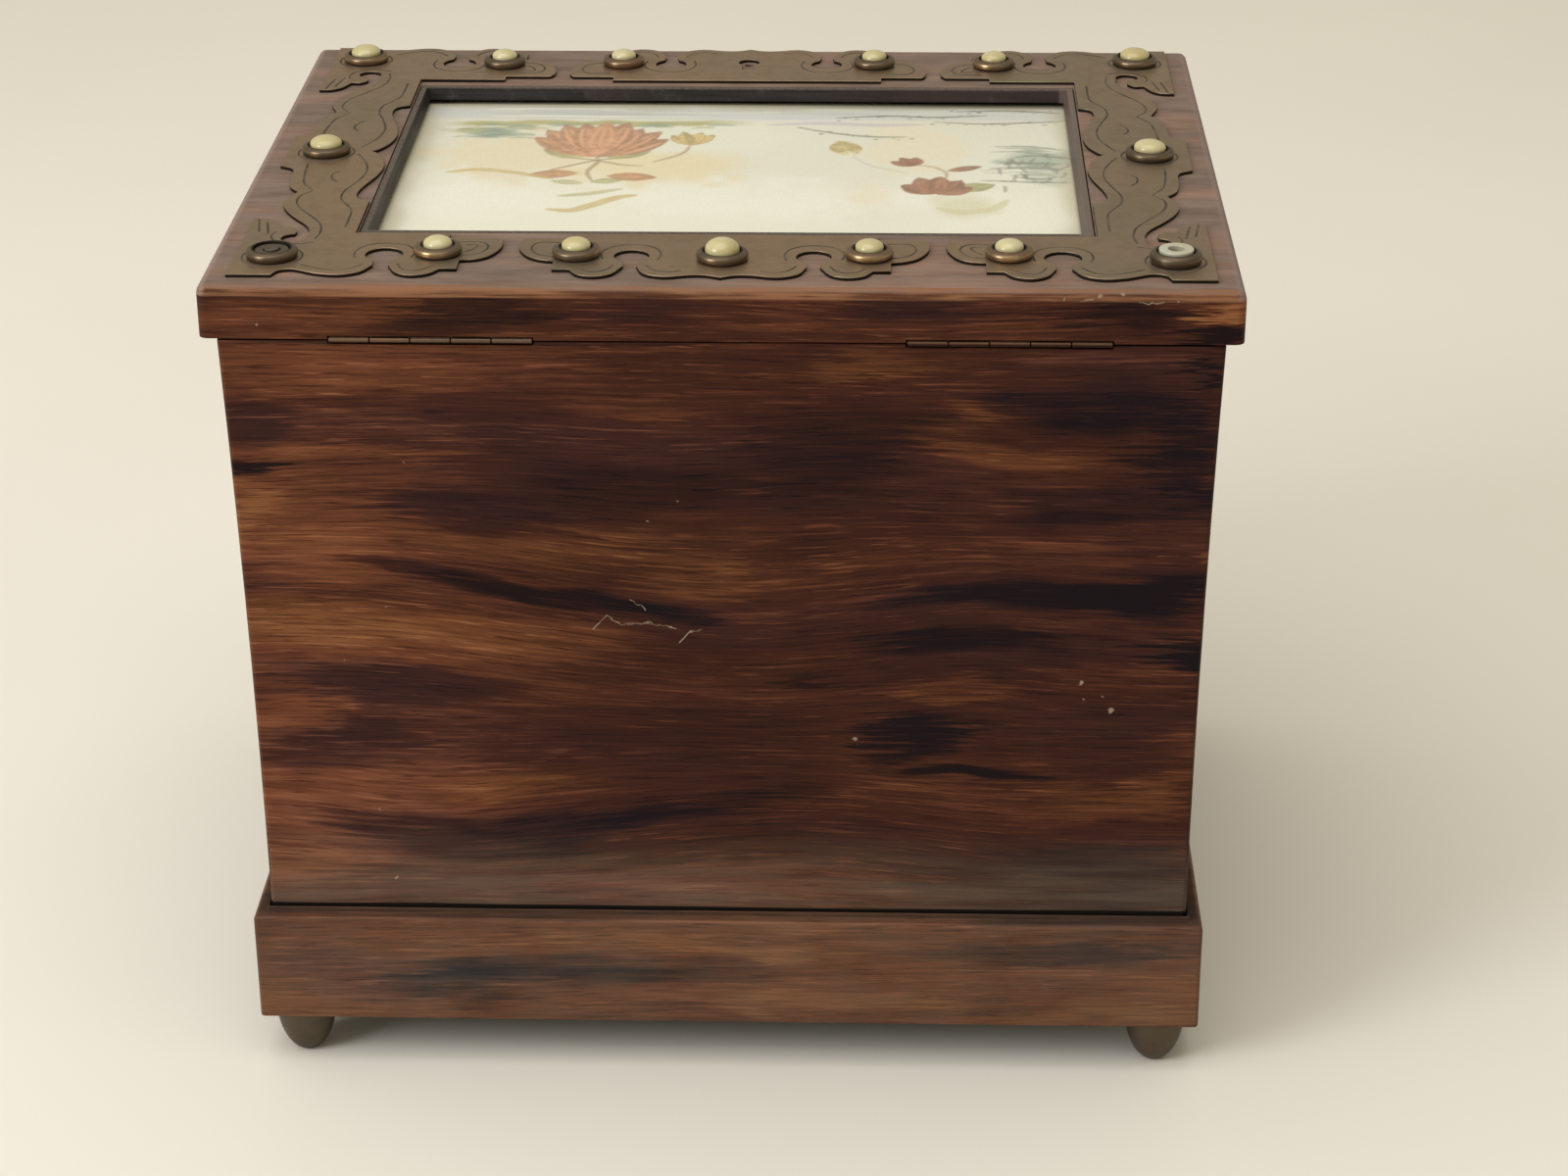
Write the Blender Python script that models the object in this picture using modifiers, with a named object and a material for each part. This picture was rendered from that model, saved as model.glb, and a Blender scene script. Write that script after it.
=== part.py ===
"""Treasure box with a hinged lid.

A hollow rosewood box stands on a moulded plinth and four bullet feet. The lid is hinged
at the back, and carries a framed picture, pierced brass strapwork and round studs.
The origin is on the ground, under the middle of the plinth. +Z is up, the hinged back
faces -Y and the front faces +Y. Sizes are in metres.
"""

import math

import bmesh
import bpy
import numpy as np
from mathutils import Matrix, Vector

MM = 0.001

# Clearance between two pieces that touch
PLAY = 0.3 * MM

# Box: each side draws in towards the plinth, in a slight hollow curve
RIM_WIDTH = 231.6 * MM
SIDE_DRAW = 2.7 * MM
SIDE_HOLLOW = 0.7 * MM
BODY_DEPTH = 188.0 * MM
BODY_HEIGHT = 179.6 * MM
WALL = 6.0 * MM
FLOOR = 6.0 * MM
BODY_EDGE_ROUND = 0.8 * MM

# Plinth: a skirt round the foot of the box, with a small fillet above a rounded edge
PLINTH_HEIGHT = 30.0 * MM
PLINTH_PROJECTION = 4.0 * MM
PLINTH_FILLET_WIDTH = 0.9 * MM
PLINTH_FILLET_HEIGHT = 1.3 * MM
PLINTH_TOP_ROUND = 3.1 * MM
PLINTH_CORNER_ROUND = 1.0 * MM

# Bullet feet, each with a small flat spot to stand on
FOOT_HEIGHT = 13.0 * MM
FOOT_RADIUS = 7.5 * MM
FOOT_SPOT_RADIUS = 2.5 * MM
FOOT_SIDE_INSET = 2.7 * MM
FOOT_END_INSET = 0.8 * MM
FOOT_SIDES = 20

# Lid: flush with the box at the back, proud of it on the other sides
SEAM = 0.4 * MM
LID_THICKNESS = 12.6 * MM
LID_SIDE_OVERHANG = 4.2 * MM
LID_FRONT_OVERHANG = 4.0 * MM
LID_TOP_ROUND = 2.1 * MM
LID_CORNER_ROUND = 2.2 * MM

# Picture and its moulding, let into the lid a little nearer the front
OPENING_WIDTH = 175.0 * MM
OPENING_DEPTH = 119.0 * MM
OPENING_SHIFT = 1.5 * MM
PICTURE_DROP = 4.4 * MM
PICTURE_THICKNESS = 1.6 * MM
MOULDING_WIDTH = 2.8 * MM
MOULDING_FILLET = 1.0 * MM
MOULDING_SLOPE_DROP = 3.0 * MM
MOULDING_LIP = 0.4 * MM
MOULDING_UNDERCUT = 1.2 * MM

# Strapwork: sheet brass, with its margins from the lid's edges and from the opening
STRAP_THICKNESS = 0.6 * MM
STRAP_SIDE_MARGIN = 6.2 * MM
STRAP_END_MARGIN = 4.7 * MM
STRAP_SIDE_REVEAL = 0.3 * MM
STRAP_END_REVEAL = 2.8 * MM

# The strapwork is drawn on one quarter of the lid, from the middle of the picture
# outwards. These are the middle, the inner corner and the outer corner of the drawing, and
# what is drawn between them stretches with the opening and the lid.
DRAWN_CORNERS = [(0.0, 0.0), (87.8, 62.3), (113.8, 91.3)]
CURVE_STEPS = 3
ARC_STEP_DEG = 24.0

# Studs: a turned brass collet that holds a round cabochon
COLLET_BAND = 1.4 * MM
COLLET_HEIGHT = 2.0 * MM
COLLET_SEAT_FLOOR = 0.7 * MM
COLLET_RIM = 0.4 * MM
SMALL_COLLET_RADIUS = 5.65 * MM
LARGE_COLLET_RADIUS = 6.1 * MM
SMALL_CABOCHON_RADIUS = 3.4 * MM
LARGE_CABOCHON_RADIUS = 4.05 * MM
CABOCHON_GIRDLE = 1.1 * MM
SMALL_DOME = 1.8 * MM
LARGE_DOME = 2.0 * MM
MIDDLE_DOME = 2.7 * MM
RING_HOLE_RADIUS = 1.95 * MM
RING_HEIGHT = 2.0 * MM
NAIL_RADIUS = 1.1 * MM
NAIL_HEIGHT = 0.7 * MM
PIN_RADIUS = 1.5 * MM
STUD_SIDES = 14
RING_SIDES = 18

# The lost stud has left a keyhole tear in the strapwork and a nail hole in the lid
TEAR_RADIUS = 2.85 * MM
TEAR_SLOT_WIDTH = 3.5 * MM
TEAR_SLOT_REACH = 6.4 * MM
NAIL_HOLE_RADIUS = 1.3 * MM
NAIL_HOLE_DEPTH = 5.0 * MM
NAIL_HOLE_SIDES = 10

# Hinges: butt hinges in the seam, with their barrels on the back plane
HINGE_LENGTH = 46.8 * MM
HINGE_END_MARGIN = 26.0 * MM
HINGE_KNUCKLES = 5
BARREL_RADIUS = 0.6 * MM
BARREL_SIDES = 10
LEAF_THICKNESS = 0.5 * MM
LEAF_SET_BACK = 1.2 * MM
LEAF_WALL_MARGIN = 0.8 * MM

# Heights and edges that follow from the sizes above
BASE_Z = FOOT_HEIGHT
FLOOR_Z = BASE_Z + FLOOR
PLINTH_TOP_Z = BASE_Z + PLINTH_HEIGHT
RIM_Z = BASE_Z + BODY_HEIGHT
LID_Z = RIM_Z + SEAM
LID_TOP_Z = LID_Z + LID_THICKNESS
HINGE_Z = RIM_Z + SEAM / 2
HINGE_X = RIM_WIDTH / 2 - HINGE_END_MARGIN - HINGE_LENGTH / 2
BACK_Y = -BODY_DEPTH / 2
SKIRT_WIDTH = RIM_WIDTH - 2 * SIDE_DRAW
PLINTH_WIDTH = SKIRT_WIDTH + 2 * PLINTH_PROJECTION
PLINTH_DEPTH = BODY_DEPTH + 2 * PLINTH_PROJECTION
LID_WIDTH = RIM_WIDTH + 2 * LID_SIDE_OVERHANG
LID_DEPTH = BODY_DEPTH + LID_FRONT_OVERHANG
LID_MIDDLE_Y = BACK_Y + LID_DEPTH / 2
PATTERN_Y = LID_MIDDLE_Y + OPENING_SHIFT
PICTURE_TOP_Z = LID_TOP_Z - PICTURE_DROP
STRAP_Z = LID_TOP_Z + PLAY
STUD_Z = STRAP_Z + STRAP_THICKNESS + PLAY
STRAP_INNER_X = OPENING_WIDTH / 2 + STRAP_SIDE_REVEAL
STRAP_OUTER_X = LID_WIDTH / 2 - STRAP_SIDE_MARGIN
STRAP_INNER_Y = OPENING_DEPTH / 2 + STRAP_END_REVEAL
STRAP_OUTER_Y = LID_DEPTH / 2 - STRAP_END_MARGIN

# Studs along the back and front edges, as drawn: place from the middle, and whether large
EDGE_STUDS = [
    (-104.9, 79.2, True),
    (-66.5, 76.2, False),
    (-34.1, 77.0, False),
    (0.0, 79.1, True),
    (34.1, 77.0, False),
    (66.5, 76.2, False),
    (104.9, 79.2, True),
]
SIDE_STUDS = [(-103.8, -1.5), (103.8, -1.5)]
MIDDLE_STUD = 4
EMPTY_STUD = 1
RING_STUD = 7

# Colours as red, green and blue, with a roughness and a metallic value
ROSEWOOD = ((0.085, 0.026, 0.014), 0.38, 0.0)
DARK_WOOD = ((0.030, 0.020, 0.018), 0.45, 0.0)
OLD_BRASS = ((0.170, 0.120, 0.085), 0.50, 0.85)
COLLET_BRASS = ((0.270, 0.185, 0.090), 0.38, 0.9)
FOOT_BRASS = ((0.150, 0.125, 0.095), 0.50, 0.8)
IVORY = ((0.760, 0.730, 0.540), 0.35, 0.0)
RING_BONE = ((0.720, 0.740, 0.680), 0.45, 0.0)
PAINTED_PANEL = ((0.800, 0.790, 0.640), 0.25, 0.0)


def clear_scene():
    """Remove what the file starts with."""
    for obj in list(bpy.data.objects):
        bpy.data.objects.remove(obj, do_unlink=True)


def new_collection(name):
    """Add a collection to the scene."""
    collection = bpy.data.collections.new(name)
    bpy.context.scene.collection.children.link(collection)
    return collection


def material(name, finish):
    """A Principled material with the piece's own colour, roughness and metallic value."""
    colour, roughness, metallic = finish
    made = bpy.data.materials.new(name)
    made.use_nodes = True
    shader = made.node_tree.nodes["Principled BSDF"]
    shader.inputs["Base Color"].default_value = (*colour, 1.0)
    shader.inputs["Roughness"].default_value = roughness
    shader.inputs["Metallic"].default_value = metallic
    made.diffuse_color = (*colour, 1.0)
    return made


def add_piece(name, mesh, finish, at=(0.0, 0.0, 0.0)):
    """Put a mesh in the treasure box's collection as a named piece."""
    obj = bpy.data.objects.new(name, mesh)
    obj.location = at
    mesh.materials.append(material(name, finish))
    PIECES.objects.link(obj)
    return obj


def add_cutter(name, mesh):
    """Put a mesh among the cutters, which are only drawn as wires."""
    obj = bpy.data.objects.new(name, mesh)
    obj.hide_render = True
    obj.display_type = "WIRE"
    CUTTERS.objects.link(obj)
    return obj


def cut(piece, cutter):
    """Take the cutter's shape out of the piece."""
    boolean = piece.modifiers.new(cutter.name, "BOOLEAN")
    boolean.operation = "DIFFERENCE"
    boolean.object = cutter
    boolean.solver = "EXACT"


def join(piece, cutter):
    """Fuse another shape to the piece."""
    boolean = piece.modifiers.new(cutter.name, "BOOLEAN")
    boolean.operation = "UNION"
    boolean.object = cutter
    boolean.solver = "EXACT"


def mesh_from(name, bm):
    """Turn a bmesh into a mesh with its faces pointing outwards."""
    bmesh.ops.recalc_face_normals(bm, faces=bm.faces)
    mesh = bpy.data.meshes.new(name)
    bm.to_mesh(mesh)
    bm.free()
    return mesh


def block(low, high):
    """A bmesh box between two corners."""
    low = Vector(low)
    high = Vector(high)
    bm = bmesh.new()
    bmesh.ops.create_cube(bm, size=1.0)
    bmesh.ops.scale(bm, vec=high - low, verts=bm.verts)
    bmesh.ops.translate(bm, vec=(low + high) / 2, verts=bm.verts)
    return bm


def round_edges(bm, edges, radius, segments):
    """Round the chosen edges of a bmesh."""
    bmesh.ops.bevel(
        bm,
        geom=edges,
        offset=radius,
        offset_type="OFFSET",
        segments=segments,
        profile=0.5,
        affect="EDGES",
        clamp_overlap=True,
        material=-1,
    )


def upright_edges(bm):
    """The vertical edges of a box."""
    return [e for e in bm.edges if abs(e.verts[0].co.z - e.verts[1].co.z) > PLAY]


def top_edges(bm, z):
    """The outline of a box's top face, at height z."""
    top = [f for f in bm.faces if all(abs(v.co.z - z) < PLAY / 10 for v in f.verts)]
    return list({e for f in top for e in f.edges})


def hinge_barrel(x_low, x_high):
    """A bmesh cylinder that lies along the hinges' axis."""
    place = Matrix.Translation(((x_low + x_high) / 2, BACK_Y, HINGE_Z))
    bm = bmesh.new()
    bmesh.ops.create_cone(
        bm,
        cap_ends=True,
        segments=BARREL_SIDES,
        radius1=BARREL_RADIUS,
        radius2=BARREL_RADIUS,
        depth=x_high - x_low,
        matrix=place @ Matrix.Rotation(math.pi / 2, 4, "Y"),
    )
    return bm


def turned(name, profile, at, finish, sides, closed=False):
    """A turned piece: a profile of (radius, height) points, screwed round Z.

    The profile runs down the outer side, from the axis at the top to the axis at the
    bottom. A closed profile makes a ring.
    """
    mesh = bpy.data.meshes.new(name)
    points = [(radius, 0.0, height) for radius, height in profile]
    edges = [(i, i + 1) for i in range(len(points) - 1)]
    if closed:
        edges.append((len(points) - 1, 0))
    mesh.from_pydata(points, edges, [])
    piece = add_piece(name, mesh, finish, at)
    screw = piece.modifiers.new("turning", "SCREW")
    screw.axis = "Z"
    screw.steps = sides
    screw.render_steps = sides
    screw.use_merge_vertices = True
    screw.merge_threshold = 0.00001
    screw.use_smooth_shade = True
    return piece


def half_width(z):
    """Half of the box's outer width at height z."""
    t = min(max((z - PLINTH_TOP_Z) / (RIM_Z - PLINTH_TOP_Z), 0.0), 1.0)
    straight = SKIRT_WIDTH + t * (RIM_WIDTH - SKIRT_WIDTH)
    return straight / 2 - 4 * SIDE_HOLLOW * t * (1 - t)


def drawn_in_block(z_low, z_high, inset, bands=7):
    """A block with the box's hollow-sided outline, inset by the same amount all round."""
    half_depth = BODY_DEPTH / 2 - inset
    bm = block((-0.5, -half_depth, z_low), (0.5, half_depth, z_high))
    start = max(z_low, PLINTH_TOP_Z)
    step = (RIM_Z - start) / bands
    for i in range(bands + 1):
        geometry = list(bm.verts) + list(bm.edges) + list(bm.faces)
        bmesh.ops.bisect_plane(bm, geom=geometry, plane_co=(0, 0, start + i * step), plane_no=(0, 0, 1))
    for vert in bm.verts:
        side = half_width(vert.co.z) - inset
        vert.co.x = side if vert.co.x > 0 else -side
    return bm


def hinge_spans():
    """Name, low end and high end along X of the two hinges."""
    spans = []
    for name, middle in (("left", -HINGE_X), ("right", HINGE_X)):
        spans.append((name, middle - HINGE_LENGTH / 2, middle + HINGE_LENGTH / 2))
    return spans


def leaf_front_y():
    """How far a hinge leaf reaches in over the box's wall."""
    return BACK_Y + WALL - LEAF_WALL_MARGIN


def cut_mortises(piece, z_low, z_high):
    """Cut the two hinge mortises, open at the back, between two heights."""
    for name, x_low, x_high in hinge_spans():
        low = (x_low - PLAY, BACK_Y - BARREL_RADIUS * 2, z_low)
        high = (x_high + PLAY, leaf_front_y() + PLAY, z_high)
        mortise = mesh_from("mortise", block(low, high))
        cut(piece, add_cutter(f"{piece.name}_mortise_{name}", mortise))


def make_body():
    """The box: four walls and a floor, hollow and open at the top."""
    outer = drawn_in_block(BASE_Z, RIM_Z, 0.0)
    round_edges(outer, upright_edges(outer), BODY_EDGE_ROUND, 1)
    body = add_piece("body", mesh_from("body", outer), ROSEWOOD)
    inside = drawn_in_block(FLOOR_Z, RIM_Z + WALL, WALL)
    cut(body, add_cutter("body_inside", mesh_from("body_inside", inside)))
    cut_mortises(body, RIM_Z - LEAF_THICKNESS - PLAY, RIM_Z + SEAM)
    return body


def make_plinth():
    """The plinth: a skirt with a fillet and a rounded edge, fitted round the foot of the box."""
    half_x = PLINTH_WIDTH / 2
    half_y = PLINTH_DEPTH / 2
    skirt_top = PLINTH_TOP_Z - PLINTH_FILLET_HEIGHT
    bm = block((-half_x, -half_y, BASE_Z), (half_x, half_y, skirt_top))
    round_edges(bm, upright_edges(bm), PLINTH_CORNER_ROUND, 2)
    round_edges(bm, top_edges(bm, skirt_top), PLINTH_TOP_ROUND, 4)
    plinth = add_piece("plinth", mesh_from("plinth", bm), ROSEWOOD)
    fillet_x = SKIRT_WIDTH / 2 + PLINTH_FILLET_WIDTH
    fillet_y = BODY_DEPTH / 2 + PLINTH_FILLET_WIDTH
    fillet = block((-fillet_x, -fillet_y, BASE_Z), (fillet_x, fillet_y, PLINTH_TOP_Z))
    join(plinth, add_cutter("plinth_fillet", mesh_from("plinth_fillet", fillet)))
    hole_x = SKIRT_WIDTH / 2 + PLAY
    hole_y = BODY_DEPTH / 2 + PLAY
    hole = block((-hole_x, -hole_y, BASE_Z - WALL), (hole_x, hole_y, PLINTH_TOP_Z + WALL))
    cut(plinth, add_cutter("plinth_hole", mesh_from("plinth_hole", hole)))
    return plinth


def make_feet():
    """Four bullet feet under the corners of the plinth."""
    top = FOOT_HEIGHT - PLAY
    full_drop = top / math.sqrt(1 - (FOOT_SPOT_RADIUS / FOOT_RADIUS) ** 2)
    profile = [(0.0, top)]
    bands = 5
    spot_angle = math.acos(FOOT_SPOT_RADIUS / FOOT_RADIUS)
    for i in range(bands):
        angle = spot_angle * i / bands
        profile.append((FOOT_RADIUS * math.cos(angle), top - full_drop * math.sin(angle)))
    profile += [(FOOT_SPOT_RADIUS, 0.0), (0.0, 0.0)]
    x = PLINTH_WIDTH / 2 - FOOT_SIDE_INSET - FOOT_RADIUS
    y = PLINTH_DEPTH / 2 - FOOT_END_INSET - FOOT_RADIUS
    for end, y_sign in (("back", -1), ("front", 1)):
        for side, x_sign in (("left", -1), ("right", 1)):
            turned(f"foot_{end}_{side}", profile, (x_sign * x, y_sign * y, 0.0), FOOT_BRASS, FOOT_SIDES)


def make_lid():
    """The lid: a board with a rounded top edge, let out for the picture and the hinges."""
    half = LID_WIDTH / 2
    bm = block((-half, BACK_Y, LID_Z), (half, BACK_Y + LID_DEPTH, LID_TOP_Z))
    round_edges(bm, upright_edges(bm), LID_CORNER_ROUND, 3)
    round_edges(bm, top_edges(bm, LID_TOP_Z), LID_TOP_ROUND, 3)
    lid = add_piece("lid", mesh_from("lid", bm), ROSEWOOD)
    floor_z = PICTURE_TOP_Z - PICTURE_THICKNESS - PLAY
    cut(lid, add_cutter("lid_recess", opening_block("lid_recess", 0.0, floor_z, LID_TOP_Z + WALL)))
    cut_mortises(lid, LID_Z - SEAM, LID_Z + LEAF_THICKNESS + PLAY)
    x, y = lost_stud_place()
    hole = bmesh.new()
    bmesh.ops.create_cone(
        hole,
        cap_ends=True,
        segments=NAIL_HOLE_SIDES,
        radius1=NAIL_HOLE_RADIUS,
        radius2=NAIL_HOLE_RADIUS,
        depth=2 * NAIL_HOLE_DEPTH,
        matrix=Matrix.Translation((x, y, LID_TOP_Z)),
    )
    cut(lid, add_cutter("lid_nail_hole", mesh_from("lid_nail_hole", hole)))
    return lid


def opening_block(name, inset, z_low, z_high, top_inset=None):
    """A block in the lid's opening, inset from its edges, and by another amount at the top."""
    half_x = OPENING_WIDTH / 2
    half_y = OPENING_DEPTH / 2
    bm = block((-half_x, -half_y, z_low), (half_x, half_y, z_high))
    for vert in bm.verts:
        at_top = vert.co.z > (z_low + z_high) / 2
        amount = top_inset if at_top and top_inset is not None else inset
        vert.co.x -= math.copysign(amount, vert.co.x)
        vert.co.y -= math.copysign(amount, vert.co.y)
    bmesh.ops.translate(bm, vec=(0, PATTERN_Y, 0), verts=bm.verts)
    return mesh_from(name, bm)


def make_picture():
    """The painted panel, and the moulding that frames it."""
    low = PICTURE_TOP_Z - PICTURE_THICKNESS
    picture = add_piece("picture", opening_block("picture", PLAY, low, PICTURE_TOP_Z), PAINTED_PANEL)

    foot_z = PICTURE_TOP_Z + PLAY
    slope_foot_z = LID_TOP_Z - MOULDING_SLOPE_DROP
    lip_z = slope_foot_z - MOULDING_LIP
    frame = opening_block("picture_moulding", PLAY, foot_z, LID_TOP_Z)
    moulding = add_piece("picture_moulding", frame, DARK_WOOD)
    sight = opening_block("sight", MOULDING_WIDTH, foot_z - WALL, LID_TOP_Z + WALL)
    cut(moulding, add_cutter("moulding_sight", sight))
    run = (MOULDING_WIDTH - MOULDING_FILLET) / MOULDING_SLOPE_DROP
    above = MOULDING_SLOPE_DROP
    slope = opening_block(
        "slope", MOULDING_WIDTH, slope_foot_z, LID_TOP_Z + above, MOULDING_FILLET - run * above
    )
    cut(moulding, add_cutter("moulding_slope", slope))
    rebate = opening_block("rebate", MOULDING_UNDERCUT, foot_z - WALL, lip_z)
    cut(moulding, add_cutter("moulding_rebate", rebate))
    return picture, moulding


def plan(x, y):
    """Place on the lid, from the middle of the picture, of a point of the drawing."""
    drawn_x, drawn_y = zip(*DRAWN_CORNERS)
    place_x = np.interp(abs(x), drawn_x, (0.0, STRAP_INNER_X, STRAP_OUTER_X))
    place_y = np.interp(abs(y), drawn_y, (0.0, STRAP_INNER_Y, STRAP_OUTER_Y))
    return math.copysign(place_x, x), math.copysign(place_y, y)


def lost_stud_place():
    """Place on the lid of the stud that is missing from the middle of the front mount."""
    x, y = plan(*EDGE_STUDS[MIDDLE_STUD - 1][:2])
    return x, PATTERN_Y + y


def line(*points):
    """A run of straight strokes."""
    return list(points)


def curve(*knots):
    """A smooth run through the knots, with a corner at each end."""
    first = 2 * np.array(knots[0]) - np.array(knots[1])
    last = 2 * np.array(knots[-1]) - np.array(knots[-2])
    points = np.vstack([first, knots, last])
    run = []
    for i in range(1, len(points) - 2):
        before, a, b, after = points[i - 1 : i + 3]
        for step in range(CURVE_STEPS):
            t = step / CURVE_STEPS
            along = a + (b - before) * t / 2
            along = along + (2 * before - 5 * a + 4 * b - after) * t**2 / 2
            along = along + (3 * a - before - 3 * b + after) * t**3 / 2
            run.append(tuple(along))
    return run + [tuple(points[-2])]


def arc(centre, radius, start, end):
    """An arc between two angles in degrees."""
    count = max(2, round(abs(end - start) / ARC_STEP_DEG))
    angles = np.radians(np.linspace(start, end, count + 1))
    return [(centre[0] + radius * math.cos(a), centre[1] + radius * math.sin(a)) for a in angles]


def side_quarter():
    """One quarter of a side mount: half of its strip, its corner and its arm."""
    (inner_x, inner_y), (outer_x, outer_y) = DRAWN_CORNERS[1:]
    strip_inside = curve(
        (92.6, 0.0), (91.0, 1.6), (88.9, 6.0), (87.8, 12.5), (88.6, 19.5),
        (90.6, 27.0), (91.6, 33.0), (90.7, 37.2), (inner_x, 38.6),
    )  # fmt: skip
    arm_inside = line((inner_x, inner_y), (65.2, inner_y), (65.2, 65.4), (53.4, 65.4))
    leaf = curve((53.4, 65.4), (52.2, 67.6), (52.3, 72.4), (54.4, 77.6), (57.6, 80.1), (61.1, 80.6))
    step = line((61.1, 86.6), (65.1, 86.6))
    lobe = curve((65.1, 86.6), (67.2, 89.8), (71.2, 91.2), (75.0, 89.2), (77.2, 84.2))
    eye = arc((79.0, 77.1), 4.5, 118, 422)
    corner_lobe = curve(
        (80.8, 84.2), (83.2, 89.0), (88.0, 91.1), (93.6, 90.0), (98.6, 87.5), (102.0, 88.2),
        (103.4, outer_y),
    )  # fmt: skip
    corner = line((outer_x, outer_y), (outer_x, 52.2))
    corner_leaf = curve((outer_x, 52.2), (110.6, 52.4), (107.9, 54.6), (106.1, 59.0))
    hook = curve((106.1, 59.0), (103.9, 58.6), (102.0, 60.6), (102.1, 63.2))
    curl = arc((102.0, 66.2), 3.0, -88, 198)
    lower_scallop = curve(
        (99.1, 65.2), (98.9, 61.6), (100.4, 56.8), (104.4, 50.8), (107.4, 45.0), (108.4, 39.4), (106.2, 32.3)
    )
    upper_scallop = curve((106.2, 32.3), (108.8, 28.4), (109.7, 21.6), (110.2, 14.8), (outer_x, 12.2))
    return (
        strip_inside + arm_inside + leaf + step + lobe + eye + corner_lobe
        + corner + corner_leaf + hook + curl + lower_scallop + upper_scallop
    )  # fmt: skip


def middle_half():
    """One half of a middle mount, from the middle of its inner edge to its outer cusp."""
    inner_y, outer_y = DRAWN_CORNERS[1][1], DRAWN_CORNERS[2][1]
    inside = line((0.0, inner_y), (36.0, inner_y), (36.0, 65.4), (46.9, 65.4))
    leaf = curve((46.9, 65.4), (48.0, 67.6), (47.8, 72.8), (45.6, 77.6), (42.6, 80.0), (39.1, 81.0))
    step = line((39.1, 86.6), (35.0, 86.6))
    lobe = curve((35.0, 86.6), (33.0, 90.0), (29.2, 91.2), (25.2, 89.4), (22.8, 84.0))
    eye = arc((21.2, 77.3), 4.2, 62, -242)
    middle_lobe = curve((19.7, 84.0), (17.8, 89.0), (13.0, 91.1), (7.6, 89.9), (3.6, 89.8), (0.0, outer_y))
    return inside + leaf + step + lobe + eye + middle_lobe


def mirrored(half, across_x):
    """Close half an outline with its mirror image across one of the drawing's axes."""
    flipped = [(-x, y) if across_x else (x, -y) for x, y in reversed(half)]
    return half + flipped


def tear():
    """The keyhole tear that the lost stud left in the front mount, at its place on the lid."""
    x, y = lost_stud_place()
    half = TEAR_SLOT_WIDTH / 2
    mouth = math.degrees(math.asin(half / TEAR_RADIUS))
    round_part = arc((x, y), TEAR_RADIUS, mouth - 90, 270 - mouth)
    return round_part + [(x - half, y - TEAR_SLOT_REACH), (x + half, y - TEAR_SLOT_REACH)]


def on_lid(outline, x_sign, y_sign):
    """Turn a drawn outline into places on the lid, without doubled points."""
    places = []
    for x, y in outline:
        x, y = plan(x_sign * x, y_sign * y)
        place = (x, PATTERN_Y + y)
        if not places or math.dist(place, places[-1]) > PLAY / 10:
            places.append(place)
    if math.dist(places[0], places[-1]) < PLAY / 10:
        places.pop()
    return places


def flat_plate(name, outlines, z, thickness, finish):
    """A plate with a flat outline and holes: a filled curve, made a mesh."""
    data = bpy.data.curves.new(name, "CURVE")
    data.dimensions = "2D"
    data.fill_mode = "BOTH"
    data.extrude = thickness / 2
    for outline in outlines:
        spline = data.splines.new("POLY")
        spline.points.add(len(outline) - 1)
        for point, (x, y) in zip(spline.points, outline):
            point.co = (x, y, 0.0, 1.0)
        spline.use_cyclic_u = True
    sheet = bpy.data.objects.new(name + "_curve", data)
    sheet.location = (0.0, 0.0, z + thickness / 2)
    CUTTERS.objects.link(sheet)
    bpy.context.view_layer.update()
    evaluated = sheet.evaluated_get(bpy.context.evaluated_depsgraph_get())
    bm = bmesh.new()
    bm.from_mesh(bpy.data.meshes.new_from_object(evaluated))
    bmesh.ops.remove_doubles(bm, verts=bm.verts, dist=PLAY / 30)
    plate = add_piece(name, mesh_from(name, bm), finish)
    plate.matrix_world = sheet.matrix_world
    bpy.data.objects.remove(sheet, do_unlink=True)
    return plate


def make_strapwork():
    """The four brass mounts round the picture."""
    side = mirrored(side_quarter(), across_x=False)
    middle = mirrored(middle_half(), across_x=True)
    outlines = {
        "strapwork_left": [on_lid(side, -1, 1)],
        "strapwork_right": [on_lid(side, 1, 1)],
        "strapwork_back": [on_lid(middle, 1, -1)],
        "strapwork_front": [on_lid(middle, 1, 1), tear()],
    }
    return [flat_plate(name, loops, STRAP_Z, STRAP_THICKNESS, OLD_BRASS) for name, loops in outlines.items()]


def collet_profile(radius, held_radius, centre):
    """A collet: a round band that slopes up to a rim, and centre in the middle of its seat."""
    seat = held_radius + PLAY
    return centre + [
        (seat, COLLET_SEAT_FLOOR),
        (seat, COLLET_HEIGHT),
        (seat + COLLET_RIM, COLLET_HEIGHT),
        (radius - 0.3 * COLLET_BAND, COLLET_BAND),
        (radius, 0.6 * COLLET_BAND),
        (radius - 0.2 * COLLET_BAND, 0.0),
        (0.0, 0.0),
    ]


def cabochon_profile(radius, dome):
    """A cabochon: a short straight girdle under a dome."""
    bands = 4
    profile = []
    for i in range(bands + 1):
        angle = math.pi / 2 * (1 - i / bands)
        profile.append((radius * math.cos(angle), CABOCHON_GIRDLE + dome * math.sin(angle)))
    return profile + [(radius, 0.0), (0.0, 0.0)]


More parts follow.
